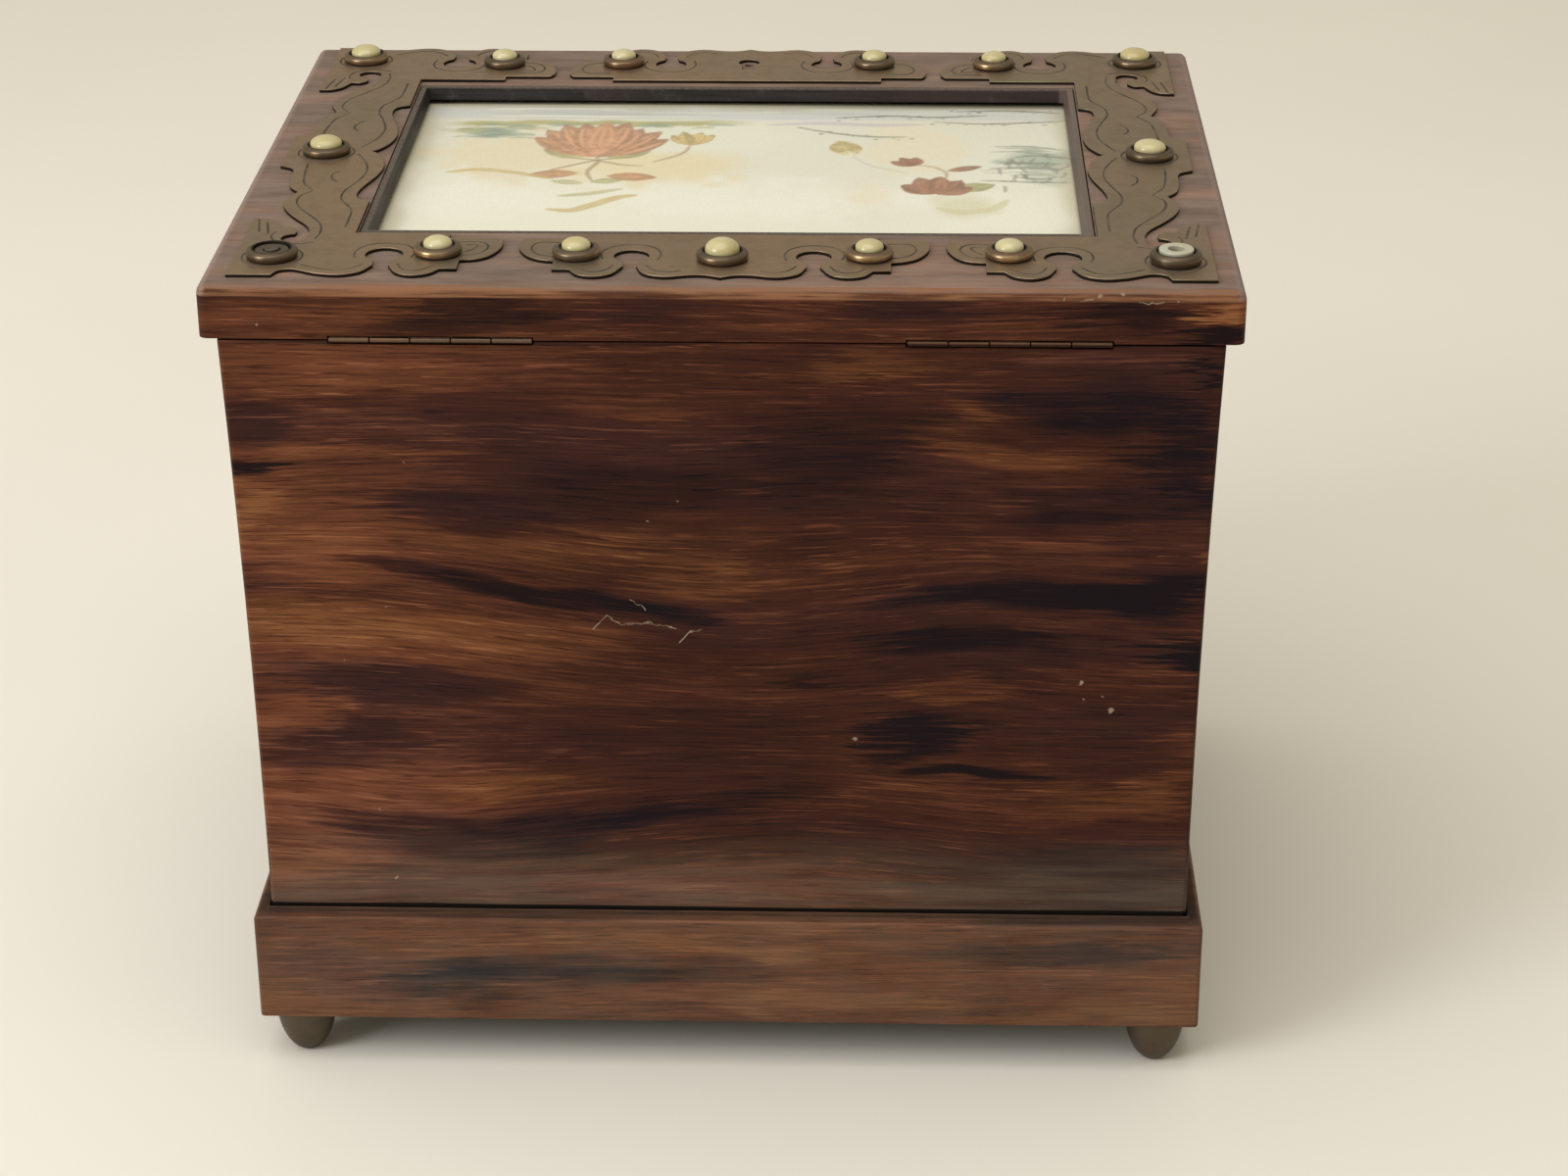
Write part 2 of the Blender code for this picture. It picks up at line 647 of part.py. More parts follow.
def make_stud(name, x, y, large, dome):
    """A collet, and the cabochon with the given height of dome that it holds."""
    at = (x, PATTERN_Y + y, STUD_Z)
    radius = LARGE_COLLET_RADIUS if large else SMALL_COLLET_RADIUS
    held = LARGE_CABOCHON_RADIUS if large else SMALL_CABOCHON_RADIUS
    seat_z = STUD_Z + COLLET_SEAT_FLOOR + PLAY
    centre = [(0.0, COLLET_SEAT_FLOOR)]
    if name == f"back_{EMPTY_STUD}":
        top = COLLET_SEAT_FLOOR + NAIL_HEIGHT
        shoulder = (0.7 * NAIL_RADIUS, top - 0.1 * NAIL_HEIGHT)
        centre = [(0.0, top), shoulder, (NAIL_RADIUS, COLLET_SEAT_FLOOR)]
    if name == f"back_{RING_STUD}":
        top = COLLET_SEAT_FLOOR + PLAY + 0.75 * RING_HEIGHT
        centre = [(0.0, top), (PIN_RADIUS, top), (PIN_RADIUS, COLLET_SEAT_FLOOR)]
    turned(f"collet_{name}", collet_profile(radius, held, centre), at, COLLET_BRASS, STUD_SIDES)
    if name == f"back_{EMPTY_STUD}":
        return
    seat = (x, PATTERN_Y + y, seat_z)
    if name == f"back_{RING_STUD}":
        ring = [
            (RING_HOLE_RADIUS, RING_HEIGHT),
            (held, RING_HEIGHT),
            (held, 0.0),
            (RING_HOLE_RADIUS, 0.0),
        ]
        turned("bone_ring", ring, seat, RING_BONE, RING_SIDES, closed=True)
        return
    turned(f"cabochon_{name}", cabochon_profile(held, dome), seat, IVORY, STUD_SIDES)


def make_studs():
    """The studs along the back, the front and the two sides."""
    for end, y_sign in (("back", -1), ("front", 1)):
        for number, (drawn_x, drawn_y, large) in enumerate(EDGE_STUDS, start=1):
            if end == "front" and number == MIDDLE_STUD:
                continue
            dome = LARGE_DOME if large else SMALL_DOME
            if number == MIDDLE_STUD:
                dome = MIDDLE_DOME
            x, y = plan(drawn_x, y_sign * drawn_y)
            make_stud(f"{end}_{number}", x, y, large, dome)
    for side, place in zip(("left", "right"), SIDE_STUDS):
        x, y = plan(*place)
        make_stud(f"side_{side}", x, y, True, LARGE_DOME)


def make_hinge_leaf(name, x_low, x_high, z_low, knuckles):
    """A hinge leaf: a plate in its mortise, with tabs that carry its own knuckles."""
    z_high = z_low + LEAF_THICKNESS
    tab_back = BACK_Y + 0.6 * BARREL_RADIUS
    tab_front = BACK_Y + 2 * LEAF_SET_BACK
    plate = block((x_low, BACK_Y + LEAF_SET_BACK, z_low), (x_high, leaf_front_y(), z_high))
    leaf = add_piece(name, mesh_from(name, plate), OLD_BRASS)
    pitch = (x_high - x_low) / HINGE_KNUCKLES
    for number in knuckles:
        start = x_low + number * pitch + (PLAY / 2 if number > 0 else 0.0)
        end = x_low + (number + 1) * pitch - (PLAY / 2 if number < HINGE_KNUCKLES - 1 else 0.0)
        tab = mesh_from("tab", block((start, tab_back, z_low), (end, tab_front, z_high)))
        join(leaf, add_cutter(f"{name}_tab_{number}", tab))
        barrel = mesh_from("barrel", hinge_barrel(start, end))
        join(leaf, add_cutter(f"{name}_barrel_{number}", barrel))
    return leaf


def make_hinges():
    """Two butt hinges, each with a leaf under the lid and a leaf on the box's rim."""
    for side, x_low, x_high in hinge_spans():
        lid_knuckles = range(0, HINGE_KNUCKLES, 2)
        box_knuckles = range(1, HINGE_KNUCKLES, 2)
        make_hinge_leaf(f"hinge_{side}_lid_leaf", x_low, x_high, LID_Z, lid_knuckles)
        make_hinge_leaf(f"hinge_{side}_box_leaf", x_low, x_high, RIM_Z - LEAF_THICKNESS, box_knuckles)


def hang_lid():
    """Parent what opens with the lid to an empty on the hinges' axis."""
    axis = bpy.data.objects.new("lid_hinge_axis", None)
    axis.location = (0.0, BACK_Y, HINGE_Z)
    PIECES.objects.link(axis)
    bpy.context.view_layer.update()
    fixed = ("body", "plinth", "foot_", "lid_hinge_axis")
    for obj in list(PIECES.objects):
        if not obj.name.startswith(fixed) and not obj.name.endswith("_box_leaf"):
            obj.parent = axis
            obj.matrix_parent_inverse = axis.matrix_world.inverted()


clear_scene()
PIECES = new_collection("treasure_box")
CUTTERS = new_collection("cutters")
make_body()
make_plinth()
make_feet()
make_lid()
make_picture()
make_strapwork()
make_studs()
make_hinges()
hang_lid()
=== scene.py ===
"""Treasure box: the finish of a rosewood box with a framed picture, brass mounts and ivory studs.

The file is laid out as an add-on. Each operator dresses one piece, or one group of like
pieces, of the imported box, and main() calls them in order. Sizes are in metres, +Z is up, the
hinged back of the box faces -Y, and places drawn in millimetres are turned into metres where
they are used.
"""

import math
import random

import bmesh
import bpy
import numpy as np
from bpy.props import FloatProperty, FloatVectorProperty, IntProperty, PointerProperty
from mathutils import Matrix, Vector


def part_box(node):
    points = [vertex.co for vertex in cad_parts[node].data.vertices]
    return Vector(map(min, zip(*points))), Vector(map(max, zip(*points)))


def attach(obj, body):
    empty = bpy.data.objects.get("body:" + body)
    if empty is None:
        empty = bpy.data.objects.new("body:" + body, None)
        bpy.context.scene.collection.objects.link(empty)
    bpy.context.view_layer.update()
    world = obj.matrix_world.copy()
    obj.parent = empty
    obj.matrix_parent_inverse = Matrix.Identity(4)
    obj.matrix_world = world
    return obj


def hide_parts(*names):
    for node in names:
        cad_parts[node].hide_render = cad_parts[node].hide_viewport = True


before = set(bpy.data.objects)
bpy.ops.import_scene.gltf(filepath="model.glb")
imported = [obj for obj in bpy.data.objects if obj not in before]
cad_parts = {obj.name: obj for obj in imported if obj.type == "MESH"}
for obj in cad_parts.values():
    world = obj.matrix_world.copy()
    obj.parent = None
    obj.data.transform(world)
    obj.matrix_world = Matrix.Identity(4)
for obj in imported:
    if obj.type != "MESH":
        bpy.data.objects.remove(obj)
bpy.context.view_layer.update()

bl_info = {
    "name": "Treasure Box",
    "version": (1, 0, 0),
    "blender": (4, 5, 0),
    "location": "View3D > Sidebar > Treasure Box",
    "description": "Dresses a rosewood treasure box with brass mounts and ivory studs",
    "category": "Add Mesh",
}

MM = 0.001
# Points nearer than this are one
MERGE = 0.01 * MM

# What the imported solids say of the box, and the studs whose brass is redder and has a painted glint
LID_LOW, LID_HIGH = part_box("lid")
BODY_LOW, BODY_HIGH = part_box("body")
PLINTH_LOW, PLINTH_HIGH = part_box("plinth")
PICTURE_LOW, PICTURE_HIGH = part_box("picture")
STRAP_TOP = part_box("strapwork_left")[1].z
PATTERN_Y = (PICTURE_LOW.y + PICTURE_HIGH.y) / 2
LID_TOP = LID_HIGH.z
COPPER_GLINT_STUDS = ["back_2", "back_3", "back_5", "back_6", "front_1", "front_3", "front_6"]


def nodes_of(kind):
    """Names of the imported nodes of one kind, in order."""
    return [name for name in sorted(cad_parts) if name.startswith(kind)]


# How far the box draws in on each side between its rim and the plinth
SIDE_DRAW = 2.7 * MM
# How far the cabochons and the ring sink into their seats
SINK = 0.28 * MM
# A hair's sinking or lowering, so that faces of two pieces never coincide
PLAY = 0.02 * MM
# Seat of the collets that hold no cabochon
WIDE_SEAT = 4.35 * MM
# Where each side of a piece lies on the sheets of veneer, in metres: by axis and by direction
VENEER_SHEETS = {
    (1, -1): (0.0, 0.0),
    (1, 1): (1.3, 0.6),
    (0, -1): (2.1, 0.25),
    (0, 1): (3.3, 0.8),
    (2, 1): (4.7, 0.1),
    (2, -1): (6.1, 0.4),
}
# The sheet of the back ends between these places along the grain
BESIDE_BACK = (0.5, 0.6)
LEDGE_DARK = (0.016, 0.016, 0.014)
FOOT_SHADOW_BLACK = (0.003, 0.003, 0.003)
BARE_WOOD = (0.28, 0.22, 0.16)


def colour_setting(name, description, default, top=1.0, subtype="COLOR"):
    """A colour that a user may change."""
    return FloatVectorProperty(
        name=name, description=description, default=default, subtype=subtype, size=3, min=0.0, max=top,
    )


def tint_setting(name, description, default):
    """A colour that others are multiplied by, so that it may pass 1."""
    return colour_setting(name, description, default, top=2.0)


def seen_setting(name, description, default):
    """A colour given as the eye sees it."""
    return colour_setting(name, description, default, subtype="COLOR_GAMMA")


class TREASURE_PG_wood(bpy.types.PropertyGroup):
    """Colours and edges of the rosewood and of the picture's moulding."""

    dark: colour_setting("Dark streaks", "Colour of the near-black streaks", (0.0080, 0.0039, 0.0050))
    deep: colour_setting("Deep brown", "Colour of the darker wood", (0.025, 0.0090, 0.0066))
    heart: colour_setting("Heartwood", "Main red brown of the veneer", (0.0445, 0.0160, 0.0096))
    warm: colour_setting("Warm streaks", "Colour of the paler streaks", (0.116, 0.0450, 0.0222))
    worn: colour_setting("Palest wood", "Colour where the wood is palest", (0.225, 0.104, 0.054))
    # Bare wood of the lid's back rounding, lightened further by a painted highlight
    round_over_wear_and_highlight: colour_setting(
        "Rounded edge", "Bare orange brown of the lid's rounded back edge", (0.225, 0.106, 0.055),
    )
    pale_side: colour_setting(
        "Pale side edge", "Dusty mauve of the lid's rounded side edges", (0.270, 0.205, 0.195),
    )
    plum: tint_setting("Plum tint", "Tint of the purplish wood", (0.94, 0.90, 1.22))
    red: tint_setting("Red tint", "Tint of the redder wood", (1.09, 0.91, 0.87))
    amber: tint_setting("Amber tint", "Tint of the yellower wood", (1.08, 0.98, 0.76))
    dust: colour_setting("Dust", "Colour of the dust on the plinth", (0.124, 0.099, 0.072))
    stain: tint_setting("Stain", "Tint of the plinth's grey stains", (0.50, 0.66, 0.84))
    # Grey of the lid's top: dulled polish, with a painted sheen
    dull_top_and_sheen: colour_setting("Dull top", "Greyed wood on the top of the lid", (0.238, 0.188, 0.156))
    moulding: colour_setting("Moulding", "Dark wood round the picture", (0.0100, 0.0088, 0.0090))
    edge_round: FloatProperty(
        name="Edge softening", description="Radius that softens the sawn edges", unit="LENGTH",
        min=0.00005, max=0.0006, default=0.0003,
    )


class TREASURE_PG_brass(bpy.types.PropertyGroup):
    """Colours, edges and engraving of the brass."""

    patina: colour_setting("Patina", "Grey brown of the old brass", (0.235, 0.182, 0.125))
    rubbed: colour_setting("Rubbed brass", "Colour where the brass is handled", (0.335, 0.212, 0.130))
    bright: colour_setting("Bright brass", "Golden colour of the collets' crests", (0.560, 0.390, 0.200))
    tarnish: colour_setting("Tarnish", "Near-black of grooves and undersides", (0.020, 0.016, 0.012))
    line_width: FloatProperty(
        name="Engraved line", description="Width of the engraved lines", unit="LENGTH",
        min=0.0001, max=0.001, default=0.00075,
    )
    edge_round: FloatProperty(
        name="Mount edge", description="Radius of the mounts' upper edges", unit="LENGTH",
        min=0.00002, max=0.0002, default=0.00014,
    )
    turning: IntProperty(
        name="Turning steps", description="Sides of a turned piece", min=12, max=96, default=56,
    )


class TREASURE_PG_ivory(bpy.types.PropertyGroup):
    """Colours of the cabochons and the bone ring."""

    ivory: colour_setting("Ivory", "Cream of the cabochons", (0.475, 0.425, 0.222))
    bone: colour_setting("Bone", "Paler grey of the flat ring", (0.420, 0.430, 0.350))


class TREASURE_PG_picture(bpy.types.PropertyGroup):
    """The painted panel: its ground, its pigments and how finely it is painted."""

    ground: seen_setting("Ground", "Cream ground, as seen", (0.880, 0.885, 0.830))
    petal: seen_setting("Petals", "Terracotta of the large flower, as seen", (0.735, 0.550, 0.430))
    peony: seen_setting("Dark petals", "Red brown of the dark flower, as seen", (0.560, 0.385, 0.310))
    ochre: seen_setting("Ochre", "Ochre of the grasses, as seen", (0.745, 0.665, 0.455))
    moss: seen_setting(
        "Moss", "Olive green of the leaves and the far bank, as seen", (0.640, 0.635, 0.440),
    )
    water: seen_setting("Water", "Blue grey of the water, as seen", (0.780, 0.800, 0.800))
    ink: seen_setting("Ink", "Dark grey green of the twigs and reeds, as seen", (0.420, 0.450, 0.410))
    grid: FloatProperty(
        name="Paint grid", description="Distance between painted points", unit="LENGTH",
        min=0.0004, max=0.003, default=0.0005,
    )


class TREASURE_PG_stage(bpy.types.PropertyGroup):
    """Floor, lights and camera."""

    floor: colour_setting("Floor", "Pale floor under the box", (0.790, 0.765, 0.705))
    key_power: FloatProperty(
        name="Key light", description="Power of the window-like light", min=0.0, default=24.0,
    )
    fill_power: FloatProperty(
        name="Fill light", description="Power of the light above", min=0.0, default=22.0,
    )
    sky: FloatProperty(
        name="Sky", description="Strength of the light from all sides", min=0.0, default=0.54,
    )
    focal: FloatProperty(
        name="Focal length", description="Camera lens in millimetres", min=20.0, default=80.1,
    )


class Finish:
    """A material's nodes, built by short calls that take sockets or plain values."""

    def __init__(self, name):
        self.material = bpy.data.materials.new(name)
        self.material.use_nodes = True
        self.tree = self.material.node_tree
        self.shader = self.tree.nodes["Principled BSDF"]
        self.place = self.add("TexCoord", outlet="Object")
        self.colour = (0.0, 0.0, 0.0)
        self.roughness = 0.5

    def feed(self, inlet, value):
        """Link a socket to an inlet, or set a plain value on it."""
        if isinstance(value, bpy.types.NodeSocket):
            self.tree.links.new(value, inlet)
        elif hasattr(value, "__len__") and inlet.type == "RGBA" and len(value) == 3:
            inlet.default_value = (*value, 1.0)
        else:
            inlet.default_value = value

    def add(self, kind, inlets=(), outlet=0, **settings):
        """Add a node and return one of its outlets."""
        node = self.tree.nodes.new("ShaderNode" + kind)
        for key, value in settings.items():
            setattr(node, key, value)
        for key, value in dict(inlets).items():
            self.feed(node.inputs[key], value)
        return node.outputs[outlet]

    def math(self, operation, *values):
        return self.add("Math", enumerate(values), operation=operation)

    def vector(self, operation, *values, outlet=0):
        return self.add("VectorMath", enumerate(values), outlet, operation=operation)

    def times(self, first, *others):
        """The product of the values."""
        for value in others:
            first = self.math("MULTIPLY", first, value)
        return first

    def plus(self, total, value, scale):
        """The total with a scaled value added."""
        return self.math("MULTIPLY_ADD", value, scale, total)

    def part(self, vector, axis):
        """One part of a vector: 0, 1 or 2 for X, Y or Z."""
        return self.add("SeparateXYZ", {0: vector}, axis)

    def pair(self, x, y):
        """A vector from two values."""
        return self.add("CombineXYZ", {"X": x, "Y": y})

    def noise(self, at, stretch, detail=2.0, roughness=0.5):
        """Noise from 0 to 1 on coordinates stretched by one factor, or by one for each axis."""
        stretch = stretch if hasattr(stretch, "__len__") else (stretch, stretch, stretch)
        at = self.vector("MULTIPLY", at, stretch)
        return self.add("TexNoise", {"Vector": at, "Scale": 1.0, "Detail": detail, "Roughness": roughness})

    def swing(self, at, stretch, detail=2.0, roughness=0.5):
        """Noise from -0.5 to 0.5."""
        return self.math("SUBTRACT", self.noise(at, stretch, detail, roughness), 0.5)

    def ease(self, value, low, high, to_low=0.0, to_high=1.0):
        """A smooth step from low to high."""
        inlets = {"Value": value, "From Min": low, "From Max": high, "To Min": to_low, "To Max": to_high}
        return self.add("MapRange", inlets, interpolation_type="SMOOTHSTEP", clamp=False)

    def reach(self, at, x, z, half_length, half_height):
        """How far the coordinates are from an oval's middle, where 1 is its rim, drawn in millimetres."""
        off = self.vector("SUBTRACT", at, (x * MM, z * MM, 0.0))
        off = self.vector("DIVIDE", off, (half_length * MM, half_height * MM, 1.0))
        return self.vector("LENGTH", off, outlet="Value")

    def mix(self, share, a, b, blend="MIX"):
        """Blend two colours."""
        return self.add("Mix", {0: share, 6: a, 7: b}, 2, data_type="RGBA", blend_type=blend)

    def ramp(self, value, stops):
        """Colours along a value."""
        node = self.tree.nodes.new("ShaderNodeValToRGB")
        points = node.color_ramp.elements
        while len(points) < len(stops):
            points.new(0.5)
        for point, (place, colour) in zip(points, stops):
            point.position = place
            point.color = (*colour, 1.0)
        self.feed(node.inputs["Fac"], value)
        return node.outputs["Color"]

    def lay(self, share, colour, blend="MIX"):
        """Lay a colour over the surface where share is high."""
        self.colour = self.mix(share, self.colour, colour, blend)

    def roughen(self, share, amount):
        """Make the surface rougher where share is high."""
        self.roughness = self.plus(self.roughness, share, amount)

    def grain_place(self):
        return self.add("UVMap", outlet="UV", uv_map="grain")

    def bump(self, height, distance, normal=None):
        """A bump whose height from 0 to 1 stands for the given distance."""
        inlets = {"Strength": 1.0, "Distance": distance, "Height": height}
        if normal is not None:
            inlets["Normal"] = normal
        return self.add("Bump", inlets)

    def finish(self, normal=None, **plain):
        """Connect the shader. Plain values are set on its own sockets."""
        self.feed(self.shader.inputs["Base Color"], self.colour)
        self.feed(self.shader.inputs["Roughness"], self.roughness)
        if normal is not None:
            self.feed(self.shader.inputs["Normal"], normal)
        for key, value in plain.items():
            self.feed(self.shader.inputs[key.replace("_", " ")], value)
        return self.material


def props(group):
    """One of the add-on's property groups."""
    return getattr(bpy.context.scene, "treasure_" + group)


def shaded(colour, shade):
    """A colour made darker or lighter by one factor, or by one for each channel."""
    shades = shade if hasattr(shade, "__len__") else (shade, shade, shade)
    return tuple(min(1.0, c * s) for c, s in zip(colour, shades))


def soften(bm, edges, radius, segments=2):
    """Round the chosen edges of a bmesh."""
    bmesh.ops.bevel(
        bm,
        geom=edges,
        offset=radius,
        offset_type="OFFSET",
        segments=segments,
        profile=0.5,
        affect="EDGES",
        clamp_overlap=True,
        material=-1,
    )


def sharp_edges(bm, degrees):
    """Edges where two faces meet at more than an angle."""
    return [e for e in bm.edges if e.is_manifold and e.calc_face_angle(0.0) > math.radians(degrees)]


def node_copy(name):
    """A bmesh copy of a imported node, with its loose triangles merged into clean faces."""
    bm = bmesh.new()
    bm.from_mesh(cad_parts[name].data)
    bmesh.ops.remove_doubles(bm, verts=bm.verts, dist=MERGE)
    flat = math.radians(0.05)
    bmesh.ops.dissolve_limit(
        bm, angle_limit=flat, verts=bm.verts, edges=bm.edges, use_dissolve_boundaries=False
    )
    return bm


def lay_grain(bm):
    """Lay the veneer: a UV map in metres, u along the grain, on its own sheet for each side."""
    layer = bm.loops.layers.uv.new("grain")
    for face in bm.faces:
        normal = face.normal
        side = max(range(3), key=lambda i: abs(normal[i]))
        sheet = VENEER_SHEETS[side, 1 if normal[side] > 0 else -1]
        along, across = {0: (1, 2), 1: (0, 2), 2: (0, 1)}[side]
        for loop in face.loops:
            co = loop.vert.co
            loop[layer].uv = (co[along] + sheet[0], co[across] + sheet[1])


def add_piece(name, bm, materials, body, slot, *nodes, sharp=35.0, even=True):
    """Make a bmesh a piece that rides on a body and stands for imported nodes."""
    mesh = bpy.data.meshes.new(name)
    bm.to_mesh(mesh)
    bm.free()
    for material in materials:
        mesh.materials.append(material)
    mesh.shade_smooth()
    mesh.set_sharp_from_angle(angle=math.radians(sharp))
    piece = bpy.data.objects.new(name, mesh)
    bpy.context.scene.collection.objects.link(piece)
    if even:
        weighted = piece.modifiers.new("even shading", "WEIGHTED_NORMAL")
        weighted.keep_sharp = True
    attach(piece, body)
    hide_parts(*nodes)
    return piece


def spin_profile(profile):
    """A turned shape: a profile of (radius, height) points spun round Z."""
    bm = bmesh.new()
    verts = [bm.verts.new((radius, 0.0, height)) for radius, height in profile]
    edges = [bm.edges.new(pair) for pair in zip(verts, verts[1:])]
    bmesh.ops.spin(
        bm,
        geom=verts + edges,
        cent=(0, 0, 0),
        axis=(0, 0, 1),
        angle=2 * math.pi,
        steps=props("brass").turning,
        use_merge=True,
    )
    bmesh.ops.remove_doubles(bm, verts=bm.verts, dist=MERGE)
    bmesh.ops.recalc_face_normals(bm, faces=bm.faces)
    return bm


def round_box(node):
    """Middle of a packed round node at its foot, its radius, and its height."""
    low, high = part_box(node)
    middle = (low + high) / 2
    return Vector((middle.x, middle.y, low.z)), (high.x - low.x) / 2, high.z - low.z


def round_run(centre, radii, start, end, steps):
    """Points of an elliptic arc between two angles in degrees."""
    angles = [math.radians(start + (end - start) * i / steps) for i in range(steps + 1)]
    return [(centre[0] + radii[0] * math.cos(a), centre[1] + radii[1] * math.sin(a)) for a in angles]


# Slants of the grain on the back of the box, in millimetres: place along X, height, half length,
# half height, and slope of the grain lines there
GRAIN_SLANTS = [
    (-52, 124, 84, 28, -0.12),
    (-24, 66, 66, 18, 0.13),
    (84, 116, 60, 22, -0.05),
    (10, 168, 44, 13, 0.05),
]

# Patches of the veneer on the back of the box, in millimetres: place along X, height, half length,
# half height, how much paler (above 0) or darker (below 0), and how much more amber (above 0) or
# plum (below 0) the wood is there
BOX_PATCHES = [
    (-112, 112, 64, 92, 0.12, 0.0),
    (104, 120, 74, 92, -0.05, -0.1),
    (10, 176, 80, 22, -0.06, -0.1),
    (12, 74, 44, 18, -0.09, 0.0),
    (-84, 68, 40, 20, 0.10, -0.2),
    (-46, 47, 70, 8, 0.15, -0.6),
    (10, 116, 58, 40, -0.05, 0.0),
    (92, 176, 30, 20, -0.06, -0.2),
    (-84, 185, 34, 6, 0.07, 0.2),
    (38, 187, 18, 4, 0.14, 0.6),
    (92, 189, 24, 2.6, 0.1, -0.1),
    (113, 187, 5, 6, -0.45, -0.2),
    (-104, 172, 16, 6, -0.18, -0.4),
    (-22, 177, 22, 4, 0.07, 0.2),
    (24, 168, 26, 13, -0.2, 0.2),
    (51, 172, 10, 7, 0.09, 0.5),
    (86, 177, 28, 7, -0.24, -0.5),
    (109, 164, 10, 13, -0.3, -0.7),
    (73, 165, 26, 3, 0.16, 0.4),
    (-112, 160.5, 9, 2.6, -0.55, -0.2),
    (-87, 164, 18, 3, 0.14, 0.3),
    (-109, 150, 9, 9, 0.20, 0.5),
    (-61, 150, 20, 7, -0.22, -0.5),
    (-22, 156, 32, 6, -0.16, 0.2),
    (90, 153, 30, 7, -0.26, -0.4),
    (112, 141, 6, 2.6, 0.4, 1),
    (-96, 138, 24, 9, 0.13, 0.4),
    (-30, 142, 50, 7, 0.11, 0.5),
    (0, 132, 18, 6, 0.14, 0.9),
    (-74, 135.5, 18, 2.2, -0.3, -0.3),
    (-52, 131, 18, 3.4, -0.42, 0.1),
    (-32, 126.5, 17, 3.8, -0.4, 0.1),
    (-14, 123, 14, 3, -0.24, -0.5),
    (-98, 121, 30, 8, 0.13, 0.4),
    (-54, 118, 34, 6, 0.13, 0.3),
    (60, 140, 42, 4.5, 0.09, 0.1),
    (78, 130, 44, 3.8, -0.34, -0.7),
    (102, 129, 18, 7, -0.34, -1),
    (62, 118, 26, 4, -0.32, 0),
    (107, 114, 11, 6.5, -0.55, -0.3),
    (88, 108, 18, 6, 0.13, 0.4),
    (55, 104, 15, 4, 0.19, 0.6),
    (-78, 105, 38, 5.5, -0.2, -0.5),
    (-106, 96, 12, 5, 0.14, 0.3),
    (-96, 88, 22, 7, -0.14, -0.4),
    (-8, 92, 38, 11, -0.12, 0.1),
    (26, 106, 10, 4, -0.28, 0),
    (47, 91, 13, 9.5, -0.4, -0.5),
    (68, 81, 20, 1.5, -0.5, -0.2),
    (105, 82, 12, 13, 0.13, 0.6),
    (-52, 76, 15, 4, 0.13, 0.6),
    (-78, 65, 24, 5.5, -0.26, -0.6),
    (-44, 65, 28, 4.8, -0.26, -0.6),
    (-12, 70, 24, 3.8, -0.24, -0.4),
    (10, 76, 16, 3.2, -0.18, -0.2),
    (60, 72, 48, 7.5, 0.09, 0.3),
    (94, 76, 18, 6, 0.13, 0.6),
    (-8, 50, 70, 7, 0.07, -0.1),
    (-62, 58, 30, 3.4, -0.18, -0.4),
    (-102, 54, 16, 9, 0.16, 0.3),
    (90, 58, 26, 4.5, -0.16, -0.4),
    (107, 50, 12, 9, -0.08, -0.3),
]
LID_PATCHES = [
    (-96, 199, 26, 5, 0.09, -0.2),
    (-55, 199.5, 18, 5.5, -0.32, -0.1),
    (-22, 199, 18, 5, -0.10, -0.4),
    (14, 198, 24, 3, 0.06, 0.1),
    (50, 201, 16, 4, -0.18, -0.6),
    (88, 200, 14, 5, -0.34, 0.0),
    (111, 200.5, 9, 3.6, 0.42, 0.9),
    (109, 195.4, 8, 2.6, -0.60, 0.0),
]
PLINTH_PATCHES = [
    (0, 28, 240, 60, 0.20, 0.05),
    (-35, 26.5, 52, 3.6, -0.10, -0.2),
    (-96, 26, 20, 10, -0.04, -0.9),
    (-24, 35, 26, 3.6, 0.14, 0.6),
    (12, 33, 12, 2.6, 0.16, 0.6),
    (66, 34, 40, 5, -0.05, 0.0),
    (100, 33, 16, 5, -0.04, -0.4),
    (-22, 18, 22, 4, 0.06, 0.1),
    (24, 19, 34, 3.6, 0.12, 0.3),
    (60, 18, 20, 3, -0.10, 0.2),
    (90, 16.5, 34, 3.4, 0.12, 1.2),
    (-64, 18, 12, 4, -0.14, 0.2),
]
# Grey stains of the plinth's back: place along X, height, half length and half height
PLINTH_STAINS = [(-34, 27.5, 60, 3.6), (-66, 24, 20, 4.4), (84, 33, 34, 5)]

# Scratches, as places along X and heights in millimetres, and flecks with their sizes: first those
# in the back of the box, then those in the lid's edge
BOX_SCRATCHES = [
    [(-30.8, 119.9), (-27.7, 123.3), (-24.2, 121.0), (-18.1, 121.4), (-11.2, 120.1)],
    [(-10.3, 116.5), (-8.1, 119.1), (-5.3, 119.7)],
    [(-22.0, 127.6), (-18.4, 124.9)],
]
BOX_FLECKS = [
    (31.4, 90.9, 0.7), (92.6, 99.3, 0.8), (90.6, 103.0, 0.5), (85.3, 106.6, 0.6), (86.0, 102.2, 0.4),
    (-84.4, 70.4, 0.5), (-81.4, 51.2, 0.4), (-74.0, 162.6, 0.4), (-80.0, 125.2, 0.3),
    (-17.4, 148.0, 0.4), (-10.4, 153.0, 0.3), (-91.0, 110.8, 0.3),
]
LID_SCRATCHES = [
    [(82.4, 203.6), (85.0, 203.9)],
    [(95.6, 203.4), (99.4, 203.0), (101.0, 203.2)],
]
LID_FLECKS = [
    (86.6, 204.6, 0.5), (91.7, 204.9, 0.6), (78.4, 203.8, 0.4), (104.2, 203.4, 0.4), (-106.0, 196.6, 0.4),
]


def in_window(x, z, slant):
    """How strongly a slant of the grain works at a place, from 0 to 1."""
    reach = math.hypot((x - slant[0]) / slant[2], (z - slant[1]) / slant[3])
    t = min(max((1.5 - reach) / 1.3, 0.0), 1.0)
    return t * t * (3 - 2 * t)


def slanted_height(x, z, slants):
    """Height of a place once the slants of the grain are taken out."""
    return z - sum(s[4] * (x - s[0]) * in_window(x, z, s) for s in slants)


